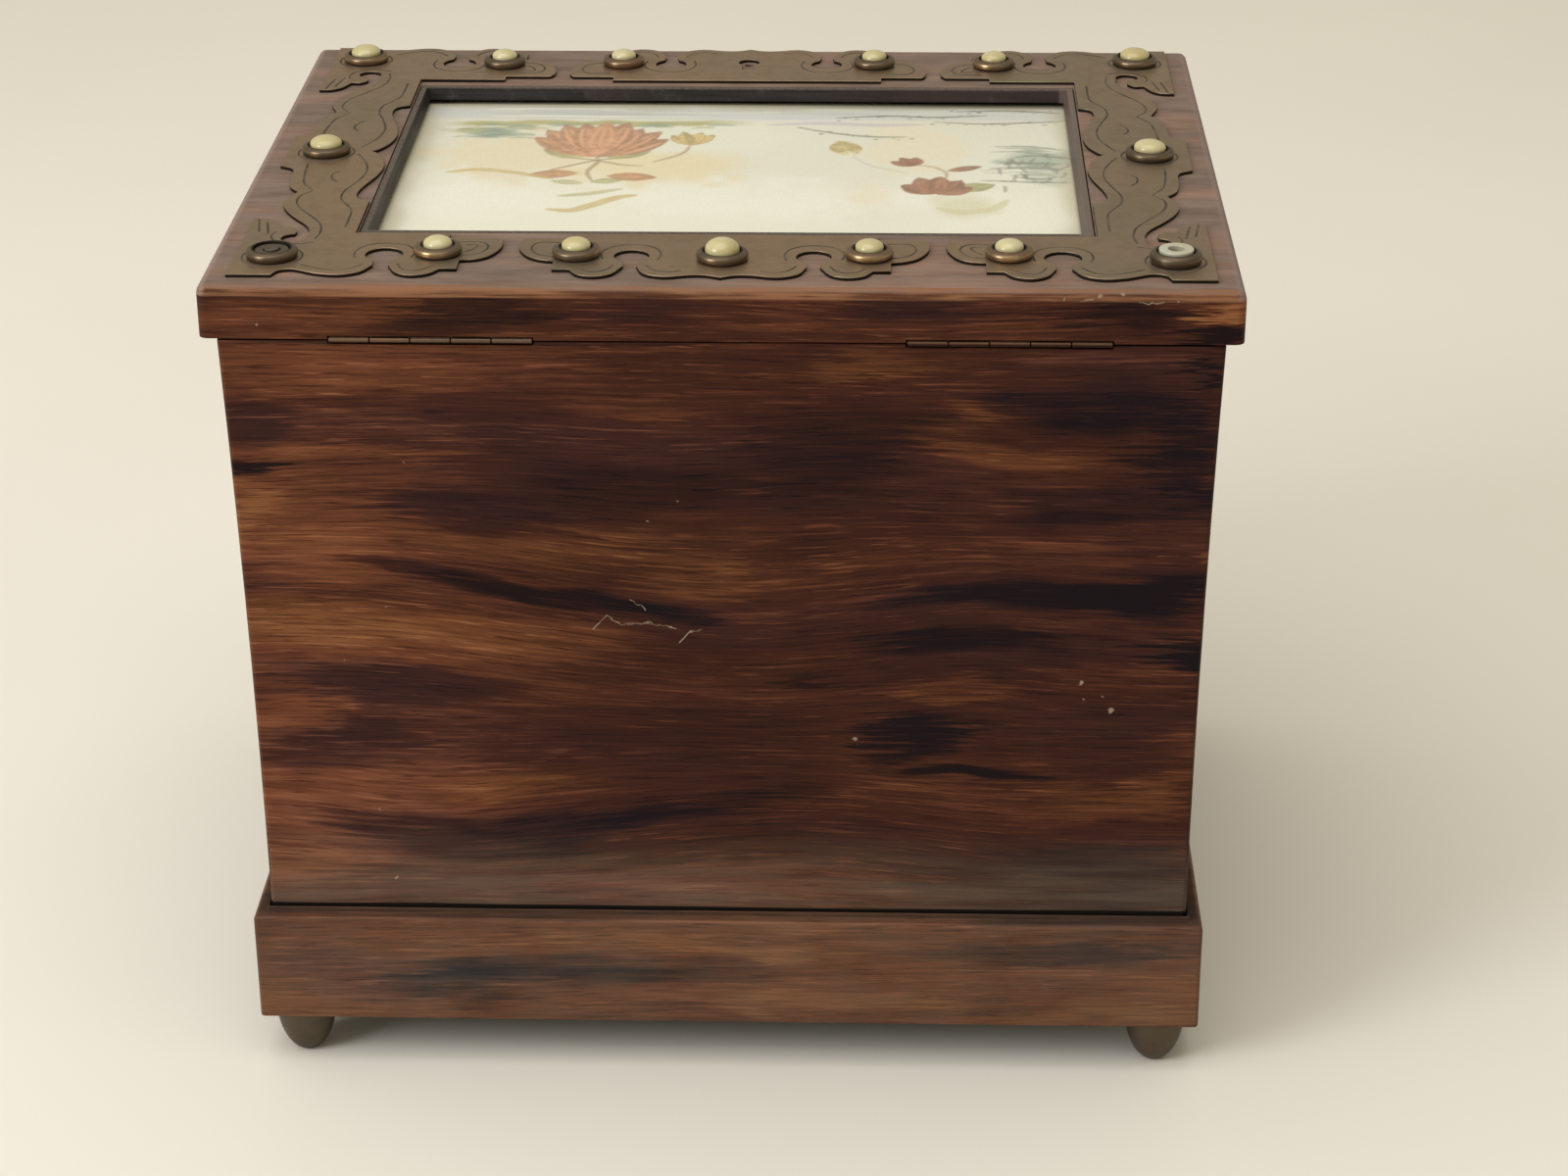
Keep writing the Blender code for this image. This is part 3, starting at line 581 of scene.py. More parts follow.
class Rosewood(Finish):
    """Streaked, semi-matt rosewood veneer, which the methods age and mark with painted light and shade.

    The patches lie on the back. Elsewhere the figure is random, and paler by a given amount.
    """

    def __init__(self, name, patches, slants=(), elsewhere=0.03):
        super().__init__(name)
        self.wood = props("wood")
        self.at = self.grain_place()
        self.height = self.part(self.place, 2)
        tone, amber = self.figure(patches, slants, elsewhere)

        # Crisp hair-thin dashes, in drifts
        drift = self.noise(self.bent, (16.0, 110.0, 9.0), 3.0, 0.6)
        dash = self.noise(self.bent, (60.0, 1500.0, 3.0), 2.0, 0.55)
        pore = self.noise(self.bent, (70.0, 1800.0, 6.0), 2.0, 0.55)
        pale_dash = self.times(self.ease(dash, 0.58, 0.64), self.ease(drift, 0.35, 0.62, 0.04, 0.21))
        self.pores = self.ease(pore, 0.58, 0.65)
        tone = self.plus(self.math("ADD", tone, pale_dash), self.pores, -0.17)
        self.colour = self.ramp(tone, [
            (0.04, self.wood.dark),
            (0.26, self.wood.deep),
            (0.47, self.wood.heart),
            (0.70, self.wood.warm),
            (0.96, self.wood.worn),
        ])
        tints = [(0.0, self.wood.plum), (0.5, self.wood.red), (1.0, self.wood.amber)]
        self.lay(1.0, self.ramp(self.ease(amber, -0.8, 0.8), tints), "MULTIPLY")
        self.streak = self.noise(self.bent, (22.0, 240.0, 2.0), 3.0, 0.6)
        smudge = self.noise(self.place, (24.0, 24.0, 40.0), 3.0, 0.6)
        self.roughness = self.ease(smudge, 0.3, 0.75, 0.36, 0.52)

    def figure(self, patches, slants, elsewhere):
        """How pale the wood is, and how amber. It also bends the grain's coordinates."""
        straight = self.at
        for x, z, half_length, half_height, slope in slants:
            reach = self.reach(self.at, x, z, half_length, half_height)
            away = self.math("SUBTRACT", self.part(self.at, 0), x * MM)
            rise = self.times(away, self.ease(reach, 1.5, 0.2, 0.0, -slope))
            straight = self.vector("ADD", straight, self.pair(0.0, rise))
        wander = self.times(self.swing(straight, (4.0, 7.0, 1.0)), 12.0 * MM)
        self.bent = self.vector("ADD", straight, self.pair(0.0, wander))

        # Ragged ends along the grain, and edges that rise and fall
        rag = self.swing(self.bent, (26.0, 760.0, 1.0), 4.0, 0.75)
        swell = self.times(self.swing(straight, (14.0, 70.0, 3.0)), 55.0 * MM)
        lift = self.times(self.swing(straight, (30.0, 90.0, 7.0)), 10.0 * MM)
        shift = self.pair(self.plus(swell, rag, 65.0 * MM), lift)
        ragged = self.vector("ADD", straight, shift)
        shifted = self.vector("ADD", self.bent, shift)

        tone = self.plus(0.475, self.swing(shifted, (8.0, 36.0, 1.0), 3.0), 0.62)
        tone = self.plus(tone, self.swing(self.bent, (20.0, 330.0, 1.0), 3.0, 0.6), 0.40)
        tone = self.plus(tone, self.swing(self.bent, (42.0, 1150.0, 1.0), 4.0, 0.7), 0.56)
        hue = self.times(self.swing(shifted, (7.0, 34.0, 5.0)), 2.6)
        both = self.pair(tone, hue)
        for x, z, half_length, half_height, paler, amber in patches:
            middle_z = slanted_height(x, z, slants)
            share = self.ease(self.reach(ragged, x, middle_z, half_length, half_height), 1.15, 0.55)
            both = self.vector("MULTIPLY_ADD", self.pair(share, share), (paler, amber, 0.0), both)
        random_tone = self.noise(shifted, (8.5, 62.0, 11.0), 3.0)
        random_tone = self.ease(random_tone, 0.38, 0.62, elsewhere - 0.20, elsewhere + 0.13)
        off_back = self.ease(self.part(self.at, 0), *BESIDE_BACK)
        return self.plus(self.part(both, 0), off_back, random_tone), self.part(both, 1)

    def rubbed(self):
        """The present colour, rubbed pale."""
        return self.mix(1.0, self.colour, (2.3, 2.5, 2.5), "MULTIPLY")

    def rub_corners(self, low, high, lean):
        """Rub the upright edges of a box whose sides lean out by so much per metre of height."""
        centre, half = (low + high) / 2, (high - low) / 2
        away = self.vector("ABSOLUTE", self.vector("SUBTRACT", self.place, centre))
        off = self.vector("SUBTRACT", half, away)
        edge = self.plus(self.part(off, 0), self.math("SUBTRACT", self.height, centre.z), lean)
        edge = self.math("MAXIMUM", edge, self.part(off, 1))
        edge = self.plus(edge, self.swing(self.place, (220.0, 220.0, 120.0), 4.0, 0.65), 9.0 * MM)
        self.lay(self.ease(edge, 2.6 * MM, 0.0, 0.0, 0.55), self.rubbed())

    def veil(self, share):
        """A film of dust."""
        dust = self.noise(self.place, (50.0, 50.0, 90.0), 4.0, 0.65)
        self.lay(self.ease(dust, 0.25, 0.75, 0.4 * share, share), self.wood.dust)

    def stain(self, stains):
        """Grey stains, ragged along the grain."""
        for stain in stains:
            reach = self.reach(self.bent, *stain)
            reach = self.plus(reach, self.math("SUBTRACT", self.streak, 0.5), 3.0)
            self.lay(self.ease(reach, 1.3, 0.3, 0.0, 0.95), self.wood.stain, "MULTIPLY")

    def dull_top_and_sheen(self, top_z):
        """Dull grey polish with a painted sheen on the lid's top, and bare wood with a painted
        highlight on the rounding under it.
        """
        rubbed = self.rubbed()
        # The flat top: dulled grey polish, with a painted sheen
        dust = self.noise(self.place, (60.0, 220.0, 60.0), 4.0, 0.6)
        flat = self.ease(self.height, top_z - 0.9 * MM, top_z - 0.3 * MM)
        share = self.times(flat, self.ease(dust, 0.25, 0.7, 0.6, 0.95))
        self.lay(share, self.mix(0.76, rubbed, self.wood.dull_top_and_sheen))
        self.roughen(share, 0.16)
        # The back rounding: bare wood, with a painted highlight
        rounding = self.ease(self.height, top_z - 2.5 * MM, top_z - 2.0 * MM)
        back = self.ease(self.part(self.place, 1), LID_LOW.y + 2.7 * MM, LID_LOW.y + 2.0 * MM)
        fine = self.swing(self.at, (45.0, 1300.0, 8.0), 3.0, 0.6)
        bare = self.ease(self.plus(self.streak, fine, 0.7), 0.34, 0.62, 0.15, 1.0)
        self.lay(self.times(rounding, back, bare), self.wood.round_over_wear_and_highlight)
        across = self.math("ABSOLUTE", self.part(self.place, 0))
        aside = self.ease(across, LID_HIGH.x - 2.6 * MM, LID_HIGH.x - 1.2 * MM)
        self.lay(self.times(rounding, aside, 0.5), self.wood.pale_side)

    def darken_ledge(self, ledge_z):
        """Darker and rougher on the plinth's ledge, most of all against the foot of the box."""
        foot = (BODY_HIGH - BODY_LOW) / 2 - Vector((SIDE_DRAW, SIDE_DRAW, 0.0))
        off = self.vector("SUBTRACT", self.vector("ABSOLUTE", self.place), foot)
        wall = self.math("MAXIMUM", self.part(off, 0), self.part(off, 1))
        wall = self.plus(wall, self.noise(self.place, 120.0, 3.0), 2.0 * MM)
        nearer_wall = self.ease(wall, 5.6 * MM, 1.6 * MM, 0.5, 0.97)
        share = self.times(self.ease(self.height, ledge_z - 0.3 * MM, ledge_z), nearer_wall)
        self.lay(share, LEDGE_DARK)
        self.roughen(share, 0.3)

    def darken_seam(self, seam_z):
        """An uneven dark line along a seam."""
        thick = self.ease(self.noise(self.at, (30.0, 1.0, 1.0)), 0.40, 0.62, 0.1 * MM, 0.9 * MM)
        away = self.math("ABSOLUTE", self.math("SUBTRACT", self.height, seam_z))
        self.lay(self.times(self.math("LESS_THAN", away, thick), 0.6), self.wood.dark)

    def settle_dust_and_foot_shadow(self, foot_z):
        """Dust low on the walls, and a painted black shadow line at their foot."""
        low = self.math("SUBTRACT", self.height, foot_z)
        streaked = self.ease(self.streak, 0.35, 0.65, 0.22, 0.56)
        self.lay(self.times(self.ease(low, 26.0 * MM, 2.0 * MM), streaked), self.wood.dust)
        # Painted shadow: a near-black line at the foot of the wall, where it meets the plinth
        thick = self.ease(self.noise(self.at, (16.0, 1.0, 1.0), 1.0), 0.3, 0.7, 0.7 * MM, 1.1 * MM)
        self.lay(self.times(self.math("LESS_THAN", low, thick), 0.96), FOOT_SHADOW_BLACK)

    def line_distance(self, at, start, end):
        """Distance from the coordinates to a line between two places in millimetres."""
        start, end = (Vector((x * MM, z * MM, 0.0)) for x, z in (start, end))
        run = end - start
        off = self.vector("SUBTRACT", at, start)
        t = self.vector("DOT_PRODUCT", off, run / run.length_squared, outlet="Value")
        t = self.math("MINIMUM", self.math("MAXIMUM", t, 0.0), 1.0)
        back = self.add("VectorMath", {0: run, "Scale": t}, operation="SCALE")
        return self.vector("LENGTH", self.vector("SUBTRACT", off, back), outlet="Value")

    def scratch(self, scratches, flecks):
        """Scratches and flecks that bare the pale wood, shaken so that none is quite straight."""
        shake = self.plus(-0.9 * MM, self.noise(self.at, (600.0, 800.0, 1.0)), 1.8 * MM)
        at = self.vector("ADD", self.at, self.pair(shake, shake))
        shown = 0.0
        for run in scratches:
            for start, end in zip(run, run[1:]):
                away = self.line_distance(at, start, end)
                shown = self.math("MAXIMUM", shown, self.ease(away, 0.22 * MM, 0.06 * MM))
        for x, z, size in flecks:
            away = self.vector("DISTANCE", at, (x * MM, z * MM, 0.0), outlet="Value")
            shown = self.math("MAXIMUM", shown, self.ease(away, size * MM, 0.5 * size * MM))
        faint = self.ease(self.noise(self.at, (260.0, 260.0, 1.0)), 0.3, 0.6, 0.35, 0.9)
        self.lay(self.times(shown, faint), BARE_WOOD)
        self.roughen(shown, 0.3)

    def polish(self):
        """The material, with open pores in its polish."""
        self.roughen(self.pores, 0.12)
        fibres = self.noise(self.bent, (40.0, 1200.0, 1.0), 3.0)
        relief = self.plus(self.times(self.pores, -0.6), fibres, 0.5)
        return self.finish(self.bump(relief, 0.035 * MM), Specular_IOR_Level=0.08)


def dark_moulding():
    """Dark stained moulding, knocked and dusty, a little worn along its top, with a painted
    shadow low in its hollow and painted light on its right inner side.
    """
    wood = props("wood")
    f = Finish("dark_moulding")
    height = f.part(f.place, 2)
    streak = f.noise(f.grain_place(), (40.0, 900.0, 1.0), 4.0, 0.6)
    f.colour = f.mix(f.ease(streak, 0.3, 0.75, 0.0, 0.8), wood.moulding, shaded(wood.moulding, 2.6))
    plum = f.ease(f.noise(f.place, 30.0), 0.4, 0.7, 0.0, 0.7)
    f.lay(plum, shaded(wood.moulding, (3.6, 2.3, 2.2)))
    dust = f.ease(f.noise(f.place, 150.0, 4.0, 0.7), 0.52, 0.74, 0.0, 0.5)
    f.lay(dust, (0.066, 0.058, 0.048))
    # Painted shadow: near-black low in the hollow over the picture, with less sheen there
    shaded_hollow = f.ease(height, PICTURE_HIGH.z + 1.6 * MM, PICTURE_HIGH.z + 0.6 * MM)
    f.lay(f.times(shaded_hollow, 0.95), shaded(wood.moulding, 0.1))
    # Painted light: the right inner side, facing the key light, lighter in streaks
    aside = f.ease(f.part(f.place, 0), PICTURE_HIGH.x - 4.0 * MM, PICTURE_HIGH.x - 3.2 * MM)
    streaky_light = f.ease(streak, 0.3, 0.7, 0.4, 0.9)
    f.lay(f.times(aside, streaky_light), (0.125, 0.090, 0.076))
    rub = f.ease(f.noise(f.place, 900.0, 4.0, 0.7), 0.3, 0.7, 0.25, 0.7)
    top = f.ease(height, LID_TOP - 0.5 * MM, LID_TOP - 0.05 * MM)
    f.lay(f.times(top, rub), shaded(wood.dull_top_and_sheen, 0.6))
    f.roughness = f.ease(streak, 0.3, 0.7, 0.38, 0.55)
    dents = f.noise(f.place, 420.0, 4.0, 0.7)
    normal = f.bump(dents, 0.12 * MM, f.bump(streak, 0.05 * MM))
    return f.finish(normal, Specular_IOR_Level=f.plus(0.22, shaded_hollow, -0.19))


def old_brass(name, shade=1.0, warmth=0.5, grain=1.0, side_z=None, crest_wear_and_glint=None, stain=0.0, shade_below_z=0.0):
    """Patinated brass, rubbed warm in places.

    shade darkens or lightens it. Below side_z it is nearly black, tarnish with painted shade. A
    turned piece is dark at its foot and round its seat, as its UV map says, and crest_wear_and_glint
    is how bright its bulging band is, with rubbed brass and a painted glint. stain is how much of the
    wood's stain lies on it, and below shade_below_z a painted shade hides it.
    """
    brass = props("brass")
    f = Finish(name)
    patina = shaded(brass.patina, shade)
    handled = f.ease(f.noise(f.place, 17.0, 3.0), 0.36, 0.64, 0.0, warmth)
    f.colour = f.mix(handled, patina, shaded(brass.rubbed, shade))
    mottle = f.noise(f.place, 210.0, 4.0, 0.6)
    f.lay(f.ease(mottle, 0.32, 0.56, 0.22, 0.0), shaded(patina, 0.5))
    f.lay(f.ease(f.noise(f.place, 900.0), 0.66, 0.76, 0.0, 0.35), brass.tarnish)
    f.roughness = f.ease(mottle, 0.3, 0.7, 0.50, 0.40)
    if stain:
        wood = props("wood")
        f.lay(f.ease(mottle, 0.3, 0.7, 0.8 * stain, stain), f.mix(0.5, wood.heart, wood.warm))
        # Painted shade: below the given height the brass hides under the wood's deep colour
        f.lay(f.ease(f.part(f.place, 2), shade_below_z, shade_below_z - 0.12 * MM, 0.0, 0.97), wood.deep)
    # Nearly black sides: tarnish, with painted shade
    if side_z is not None:
        side = f.ease(f.part(f.place, 2), side_z, side_z - 0.15 * MM)
        f.lay(side, brass.tarnish)
        f.roughen(side, 0.25)
    if crest_wear_and_glint is not None:
        lie = f.add("UVMap", outlet="UV", uv_map="turned")
        out, up = f.part(lie, 0), f.part(lie, 1)
        # The bulging band: rubbed brass, with a painted glint
        band = f.times(f.ease(up, 0.5 * MM, 1.0 * MM), f.ease(up, 2.0 * MM, 1.5 * MM))
        worn = f.ease(f.noise(f.place, 75.0), 0.42, 0.62, 0.1, 1.0)
        worn = f.times(worn, f.ease(mottle, 0.35, 0.6, 0.5, 1.0))
        f.lay(f.times(band, worn, crest_wear_and_glint), brass.bright)
        near_seat = f.ease(f.math("ABSOLUTE", out), 0.70 * MM, 0.25 * MM, 0.0, 0.92)
        dirt = f.math("MAXIMUM", near_seat, f.ease(up, 0.50 * MM, 0.12 * MM, 0.0, 0.9))
        f.lay(dirt, brass.tarnish)
        inside = f.ease(out, -0.5 * MM, -0.9 * MM, 0.0, 0.7)
        f.lay(inside, (0.105, 0.095, 0.078))
        f.roughen(band, -0.14)
        f.roughen(inside, 0.3)
        f.roughen(dirt, 0.2)
    dents = f.noise(f.place, 600.0 * grain, 3.0, 0.6)
    normal = f.bump(dents, 0.014 * MM, f.bump(f.noise(f.place, 60.0), 0.22 * MM))
    return f.finish(normal, Metallic=0.85)


def groove_tarnish():
    """Dirt in the engraved lines."""
    brass = props("brass")
    f = Finish("groove_tarnish")
    mottle = f.noise(f.place, 160.0, 3.0)
    f.colour = f.mix(f.ease(mottle, 0.35, 0.65, 0.25, 0.9), brass.tarnish, shaded(brass.patina, 0.55))
    f.roughness = f.ease(mottle, 0.3, 0.7, 0.6, 0.8)
    return f.finish(Metallic=0.3)


def ivory(name, colour):
    """Polished ivory or bone, with faint grain, yellowing and hairline checks."""
    f = Finish(name)
    grain = f.noise(f.place, (350.0, 1600.0, 350.0), 3.0, 0.6)
    yellowed = shaded(colour, (0.80, 0.70, 0.46))
    paler = f.ease(f.noise(f.place, 11.0, 1.0), 0.35, 0.65)
    f.colour = f.mix(paler, colour, shaded(colour, (1.12, 1.15, 1.32)))
    f.lay(f.ease(f.noise(f.place, 90.0, 3.0), 0.35, 0.7, 0.0, 0.55), yellowed)
    f.lay(f.ease(grain, 0.5, 0.75, 0.0, 0.22), yellowed)
    check = f.ease(f.noise(f.place, (500.0, 2600.0, 500.0), 1.0), 0.69, 0.74, 0.0, 0.35)
    f.lay(check, (0.22, 0.15, 0.07))
    f.roughness = f.ease(grain, 0.3, 0.7, 0.22, 0.34)
    return f.finish(f.bump(grain, 0.02 * MM), Coat_Weight=0.4, Coat_Roughness=0.1)


def painted_paper():
    """The panel's paint, read from the mesh's own colours, on a fine laid ground under a varnish."""
    f = Finish("painted_panel")
    thread = f.noise(f.place, (2600.0, 260.0, 1.0))
    weft = f.noise(f.place, (260.0, 2600.0, 1.0))
    tooth = f.times(thread, weft)
    f.colour = f.add("Attribute", outlet="Color", attribute_name="paint")
    f.lay(f.ease(tooth, 0.18, 0.34, 0.10, 0.0), (0.45, 0.38, 0.22))
    foxing = f.ease(f.noise(f.place, (45.0, 45.0, 1.0), 4.0, 0.6), 0.55, 0.78, 0.0, 0.12)
    f.lay(foxing, (0.52, 0.43, 0.22))
    # Painted shadow along the far edge, where the moulding overhangs the panel, deeper to the right
    far = f.ease(f.part(f.place, 1), PICTURE_HIGH.y - 5.8 * MM, PICTURE_HIGH.y - 2.9 * MM)
    right = f.ease(f.part(f.place, 0), -20.0 * MM, 70.0 * MM, 0.1, 0.65)
    f.lay(f.times(far, right), (0.045, 0.038, 0.024))
    f.roughness = f.ease(tooth, 0.15, 0.35, 0.55, 0.42)
    return f.finish(f.bump(tooth, 0.02 * MM), Coat_Weight=0.5, Coat_Roughness=0.08)


def pale_floor():
    """A matt pale board."""
    floor = props("stage").floor
    f = Finish("pale_floor")
    f.colour = f.mix(f.ease(f.noise(f.place, 3.0, 3.0), 0.3, 0.7), floor, shaded(floor, 0.965))
    f.roughness = 0.62
    return f.finish()


def cloud(x, y, size, seed):
    """Smooth random values from 0 to 1 over a plane, in patches of a given size."""
    cells = 63
    lattice = np.random.default_rng(seed).random((cells + 1, cells + 1))
    lattice[-1], lattice[:, -1] = lattice[0], lattice[:, 0]
    across, up = (x / size) % cells, (y / size) % cells
    column, row = across.astype(int), up.astype(int)
    s, t = across - column, up - row
    s, t = s * s * (3 - 2 * s), t * t * (3 - 2 * t)
    low = lattice[row, column] * (1 - s) + lattice[row, column + 1] * s
    high = lattice[row + 1, column] * (1 - s) + lattice[row + 1, column + 1] * s
    return low * (1 - t) + high * t


def smooth_run(knots, steps=6):
    """A smooth line through the knots."""
    points = np.array(knots, float)
    points = np.vstack([2 * points[0] - points[1], points, 2 * points[-1] - points[-2]])
    run = []
    for before, a, b, after in zip(points, points[1:], points[2:], points[3:]):
        for t in np.arange(steps) / steps:
            bend = (2 * before - 5 * a + 4 * b - after) * t**2 + (3 * a - before - 3 * b + after) * t**3
            run.append(a + ((b - before) * t + bend) / 2)
    return np.array(run + [points[-2]])


class Painting:
    """Colours at the points of the panel, laid on by washes, strokes and leaves, in millimetres."""

    def __init__(self, x, y, ground):
        self.x, self.y = x, y
        self.colour = np.tile(np.array(ground, float), (len(x), 1))
        self.grit = cloud(x, y, 0.9, 1) * 0.6 + cloud(x, y, 2.6, 2) * 0.4

    def lay(self, cover, colour):
        """Lay a colour on where cover is above 0."""
        cover = np.clip(cover, 0.0, 1.0)[:, None]
        self.colour = self.colour * (1 - cover) + np.array(colour, float) * cover

    def wash(self, centre, radii, colour, strength, turn=0.0, rag=0.35, seed=3):
        """A soft pool of thin paint with an uneven edge."""
        a = math.radians(turn)
        dx, dy = self.x - centre[0], self.y - centre[1]
        u = (dx * math.cos(a) + dy * math.sin(a)) / radii[0]
        v = (dy * math.cos(a) - dx * math.sin(a)) / radii[1]
        edge = np.hypot(u, v) + rag * (cloud(self.x, self.y, 5.0, seed) - 0.5) * 2
        self.lay(strength * np.clip((1.15 - edge) / 0.6, 0, 1), colour)

    def stroke(self, knots, width, colour, strength=0.9, dry=0.0):
        """A brush stroke along a smooth line, tapered at both ends. Dry leaves gaps in it."""
        run = smooth_run(knots)
        nearest = np.full(len(self.x), 1e9)
        along = np.zeros(len(self.x))
        for i, (a, b) in enumerate(zip(run, run[1:])):
            d = b - a
            t = np.clip(((self.x - a[0]) * d[0] + (self.y - a[1]) * d[1]) / max(d @ d, 1e-9), 0, 1)
            away = np.hypot(self.x - a[0] - t * d[0], self.y - a[1] - t * d[1])
            closer = away < nearest
            nearest = np.where(closer, away, nearest)
            along = np.where(closer, (i + t) / (len(run) - 1), along)
        half = width / 2 * np.sqrt(np.clip(4 * along * (1 - along), 0, 1)) + 0.12
        cover = np.clip((half - nearest) / 0.35 + 0.5, 0, 1)
        self.lay(strength * cover * (1 - dry * (self.grit > 0.55)), colour)

    def leaf(self, base, length, width, turn, colour, strength=0.9, vein=0.16):
        """A pointed leaf from its base, with a paler vein."""
        a = math.radians(turn)
        dx, dy = self.x - base[0], self.y - base[1]
        u = (dx * math.cos(a) + dy * math.sin(a)) / length
        v = dy * math.cos(a) - dx * math.sin(a)
        half = width / 2 * np.sin(np.pi * np.clip(u, 0, 1)) ** 0.8
        cover = np.clip((half - np.abs(v)) / 0.35 + 0.3, 0, 1) * (u > 0) * (u < 1)
        tone = 0.85 + 0.3 * self.grit - 0.12 * np.clip(u, 0, 1)
        tone = tone + vein * (np.abs(v) < 0.22) * (u < 0.85)
        cover = np.clip(strength * cover, 0, 1)[:, None]
        self.colour = self.colour * (1 - cover) + np.clip(np.outer(tone, colour), 0, 1) * cover

    def cup(self, base, length, width, turns, colour, rng):
        """A flower seen from its side: brushed petals fanned out from its base, the middle ones on top."""
        middle = sum(turns) / len(turns)
        for turn in sorted(turns, key=lambda a: -abs(a - middle)):
            reach = length * (1 - 0.0036 * abs(turn - middle)) * rng.uniform(0.94, 1.06)
            shade = rng.uniform(0.92, 1.08)
            self.leaf(base, reach, width, turn, shaded(colour, shade), 0.92, vein=0.0)
            a = math.radians(turn)
            forth = reach * np.array((math.cos(a), math.sin(a)))
            for side in (-0.24, 0.0, 0.24):
                across = side * width * np.array((-math.sin(a), math.cos(a)))
                spreads = ((0.30, 1.0), (0.6, 1.0), (0.86, 0.5))
                run = [base + forth * t + across * spread for t, spread in spreads]
                light = rng.choice((0.84, 1.14, 1.22))
                self.stroke(run, 0.11 * width, shaded(colour, light), 0.7, 0.25)


def paint_garden(x, y):
    """Autumn flowers by the water, with a far bank, twigs and reeds. The far edge is the front."""
    look = props("picture")
    art = Painting(x, y, look.ground)
    rng = random.Random(11)
    # The ground varies at random, and a painted shade darkens it towards the far edge
    art.colour *= 1 - 0.05 * cloud(x, y, 34.0, 5)[:, None] - 0.035 * np.clip((y + 10) / 60, 0, 1)[:, None]
    stem = (0.60, 0.52, 0.40)
    rust = (0.700, 0.500, 0.350)
    sage = (0.500, 0.580, 0.520)

    # Thin washes of the ground
    art.wash((-56, 14), (26, 22), (0.845, 0.800, 0.680), 0.75, turn=8, seed=6)
    art.wash((-22, 2), (24, 16), (0.850, 0.795, 0.640), 0.75, turn=-6, seed=7)
    art.wash((46, 22), (13, 22), (0.860, 0.825, 0.720), 0.7, seed=8)
    art.wash((10, -20), (46, 16), (0.895, 0.895, 0.860), 0.6, seed=9)
    art.wash((-66, -22), (22, 14), (0.890, 0.890, 0.850), 0.6, seed=10)
    art.wash((34, -18), (6, 13), (0.860, 0.830, 0.730), 0.5, seed=12)
    art.wash((8, 46), (30, 4), (0.84, 0.84, 0.86), 0.6, seed=24)

    # Water and far bank along the front edge
    water = np.clip((y - 43.0) / 3.0, 0, 1) * np.clip((58.0 - y) / 6.0, 0, 1)
    art.lay(water * (0.35 + 0.5 * cloud(x, y * 5, 12.0, 13)), look.water)
    for _ in range(14):
        left = rng.uniform(-78, 20)
        level = rng.uniform(46.0, 54.0)
        end = left + rng.uniform(18, 46)
        tint = (0.930, 0.930, 0.890) if rng.random() < 0.6 else (0.700, 0.715, 0.700)
        run = [(left, level), ((left + end) / 2, level + rng.uniform(-0.5, 0.5)), (end, level)]
        art.stroke(run, rng.uniform(0.5, 1.8), tint, 0.5)
    art.stroke([(6, 39.6), (20, 41.4), (34, 40.0), (48, 40.6)], 2.6, (0.700, 0.700, 0.740), 0.6)
    edge = 40.6 + 2.0 * (cloud(x, y * 0, 7.0, 14) - 0.5)
    green = np.clip((2.6 - np.abs(y - edge)) / 1.4, 0, 1)
    green = green * np.clip((x + 80) / 10, 0, 1) * np.clip((4 - x) / 16, 0, 1)
    art.lay(green * 0.85, look.moss)
    for _ in range(34):
        left, level = rng.uniform(-76, -8), rng.uniform(35.5, 40.5)
        tint = look.moss if rng.random() < 0.6 else sage
        run = [(left, level), (left + 3, level + 0.8), (left + rng.uniform(5, 9), level + 0.4)]
        art.stroke(run, 1.3, tint, 0.6)
    art.wash((-66, 32), (7, 4.6), sage, 0.85, turn=-12, seed=21)
    art.wash((-72, 34), (6, 3.0), look.moss, 0.7, seed=22)
    for _ in range(12):
        left, level = rng.uniform(-76, -58), rng.uniform(27, 36)
        run = [(left, level), (left + 3, level + 0.8), (left + rng.uniform(4, 8), level)]
        art.stroke(run, 0.9, (0.430, 0.510, 0.470), 0.5, 0.2)

    # The large terracotta flower on crossing stems, and its leaves
    art.stroke([(-46, 11.5), (-38, 10), (-30, 6), (-24, 5)], 0.8, stem, 0.8)
    art.stroke([(-27, 12), (-36, 9.5), (-44, 4), (-48, 1)], 0.8, stem, 0.8)
    art.stroke([(-37, 14), (-36, 8), (-38, 0), (-36, -8)], 1.0, stem, 0.7)
    for base, length, turn in (((-40, 11), 13, 146), ((-34, 11), 13, 30)):
        art.leaf(base, length, 6.0, turn, look.moss, 0.85)
    for base, length, turn in (((-40, -1), 13, 187), ((-33, -3), 13, -6)):
        art.leaf(base, length, 6.6, turn, rust, 0.8)
    art.cup((-37, 12), 30, 9.5, [40, 54, 66, 77, 88, 99, 110, 122, 136], look.petal, rng)
    art.cup((-13, 22), 12, 4.6, [58, 78, 102, 122], look.ochre, rng)
    art.stroke([(-13, 22), (-15, 15), (-22, 8)], 1.0, stem, 0.6)

    # Fallen petals and grasses below it
    art.leaf((-37, -8), 9, 4.4, 12, look.moss, 0.7)
    art.leaf((-38, -9), 9, 3.8, 168, look.moss, 0.6)
    art.stroke([(-74, -1), (-66, 1.5), (-56, -1), (-46, -6)], 2.3, look.ochre, 0.8, 0.1)
    art.stroke([(-46, -29), (-40, -30), (-35, -26), (-29, -20), (-24, -18)], 3.2, look.ochre, 0.8, 0.15)
    art.stroke([(-44, -19), (-36, -17), (-28, -13)], 2.4, look.moss, 0.6, 0.15)

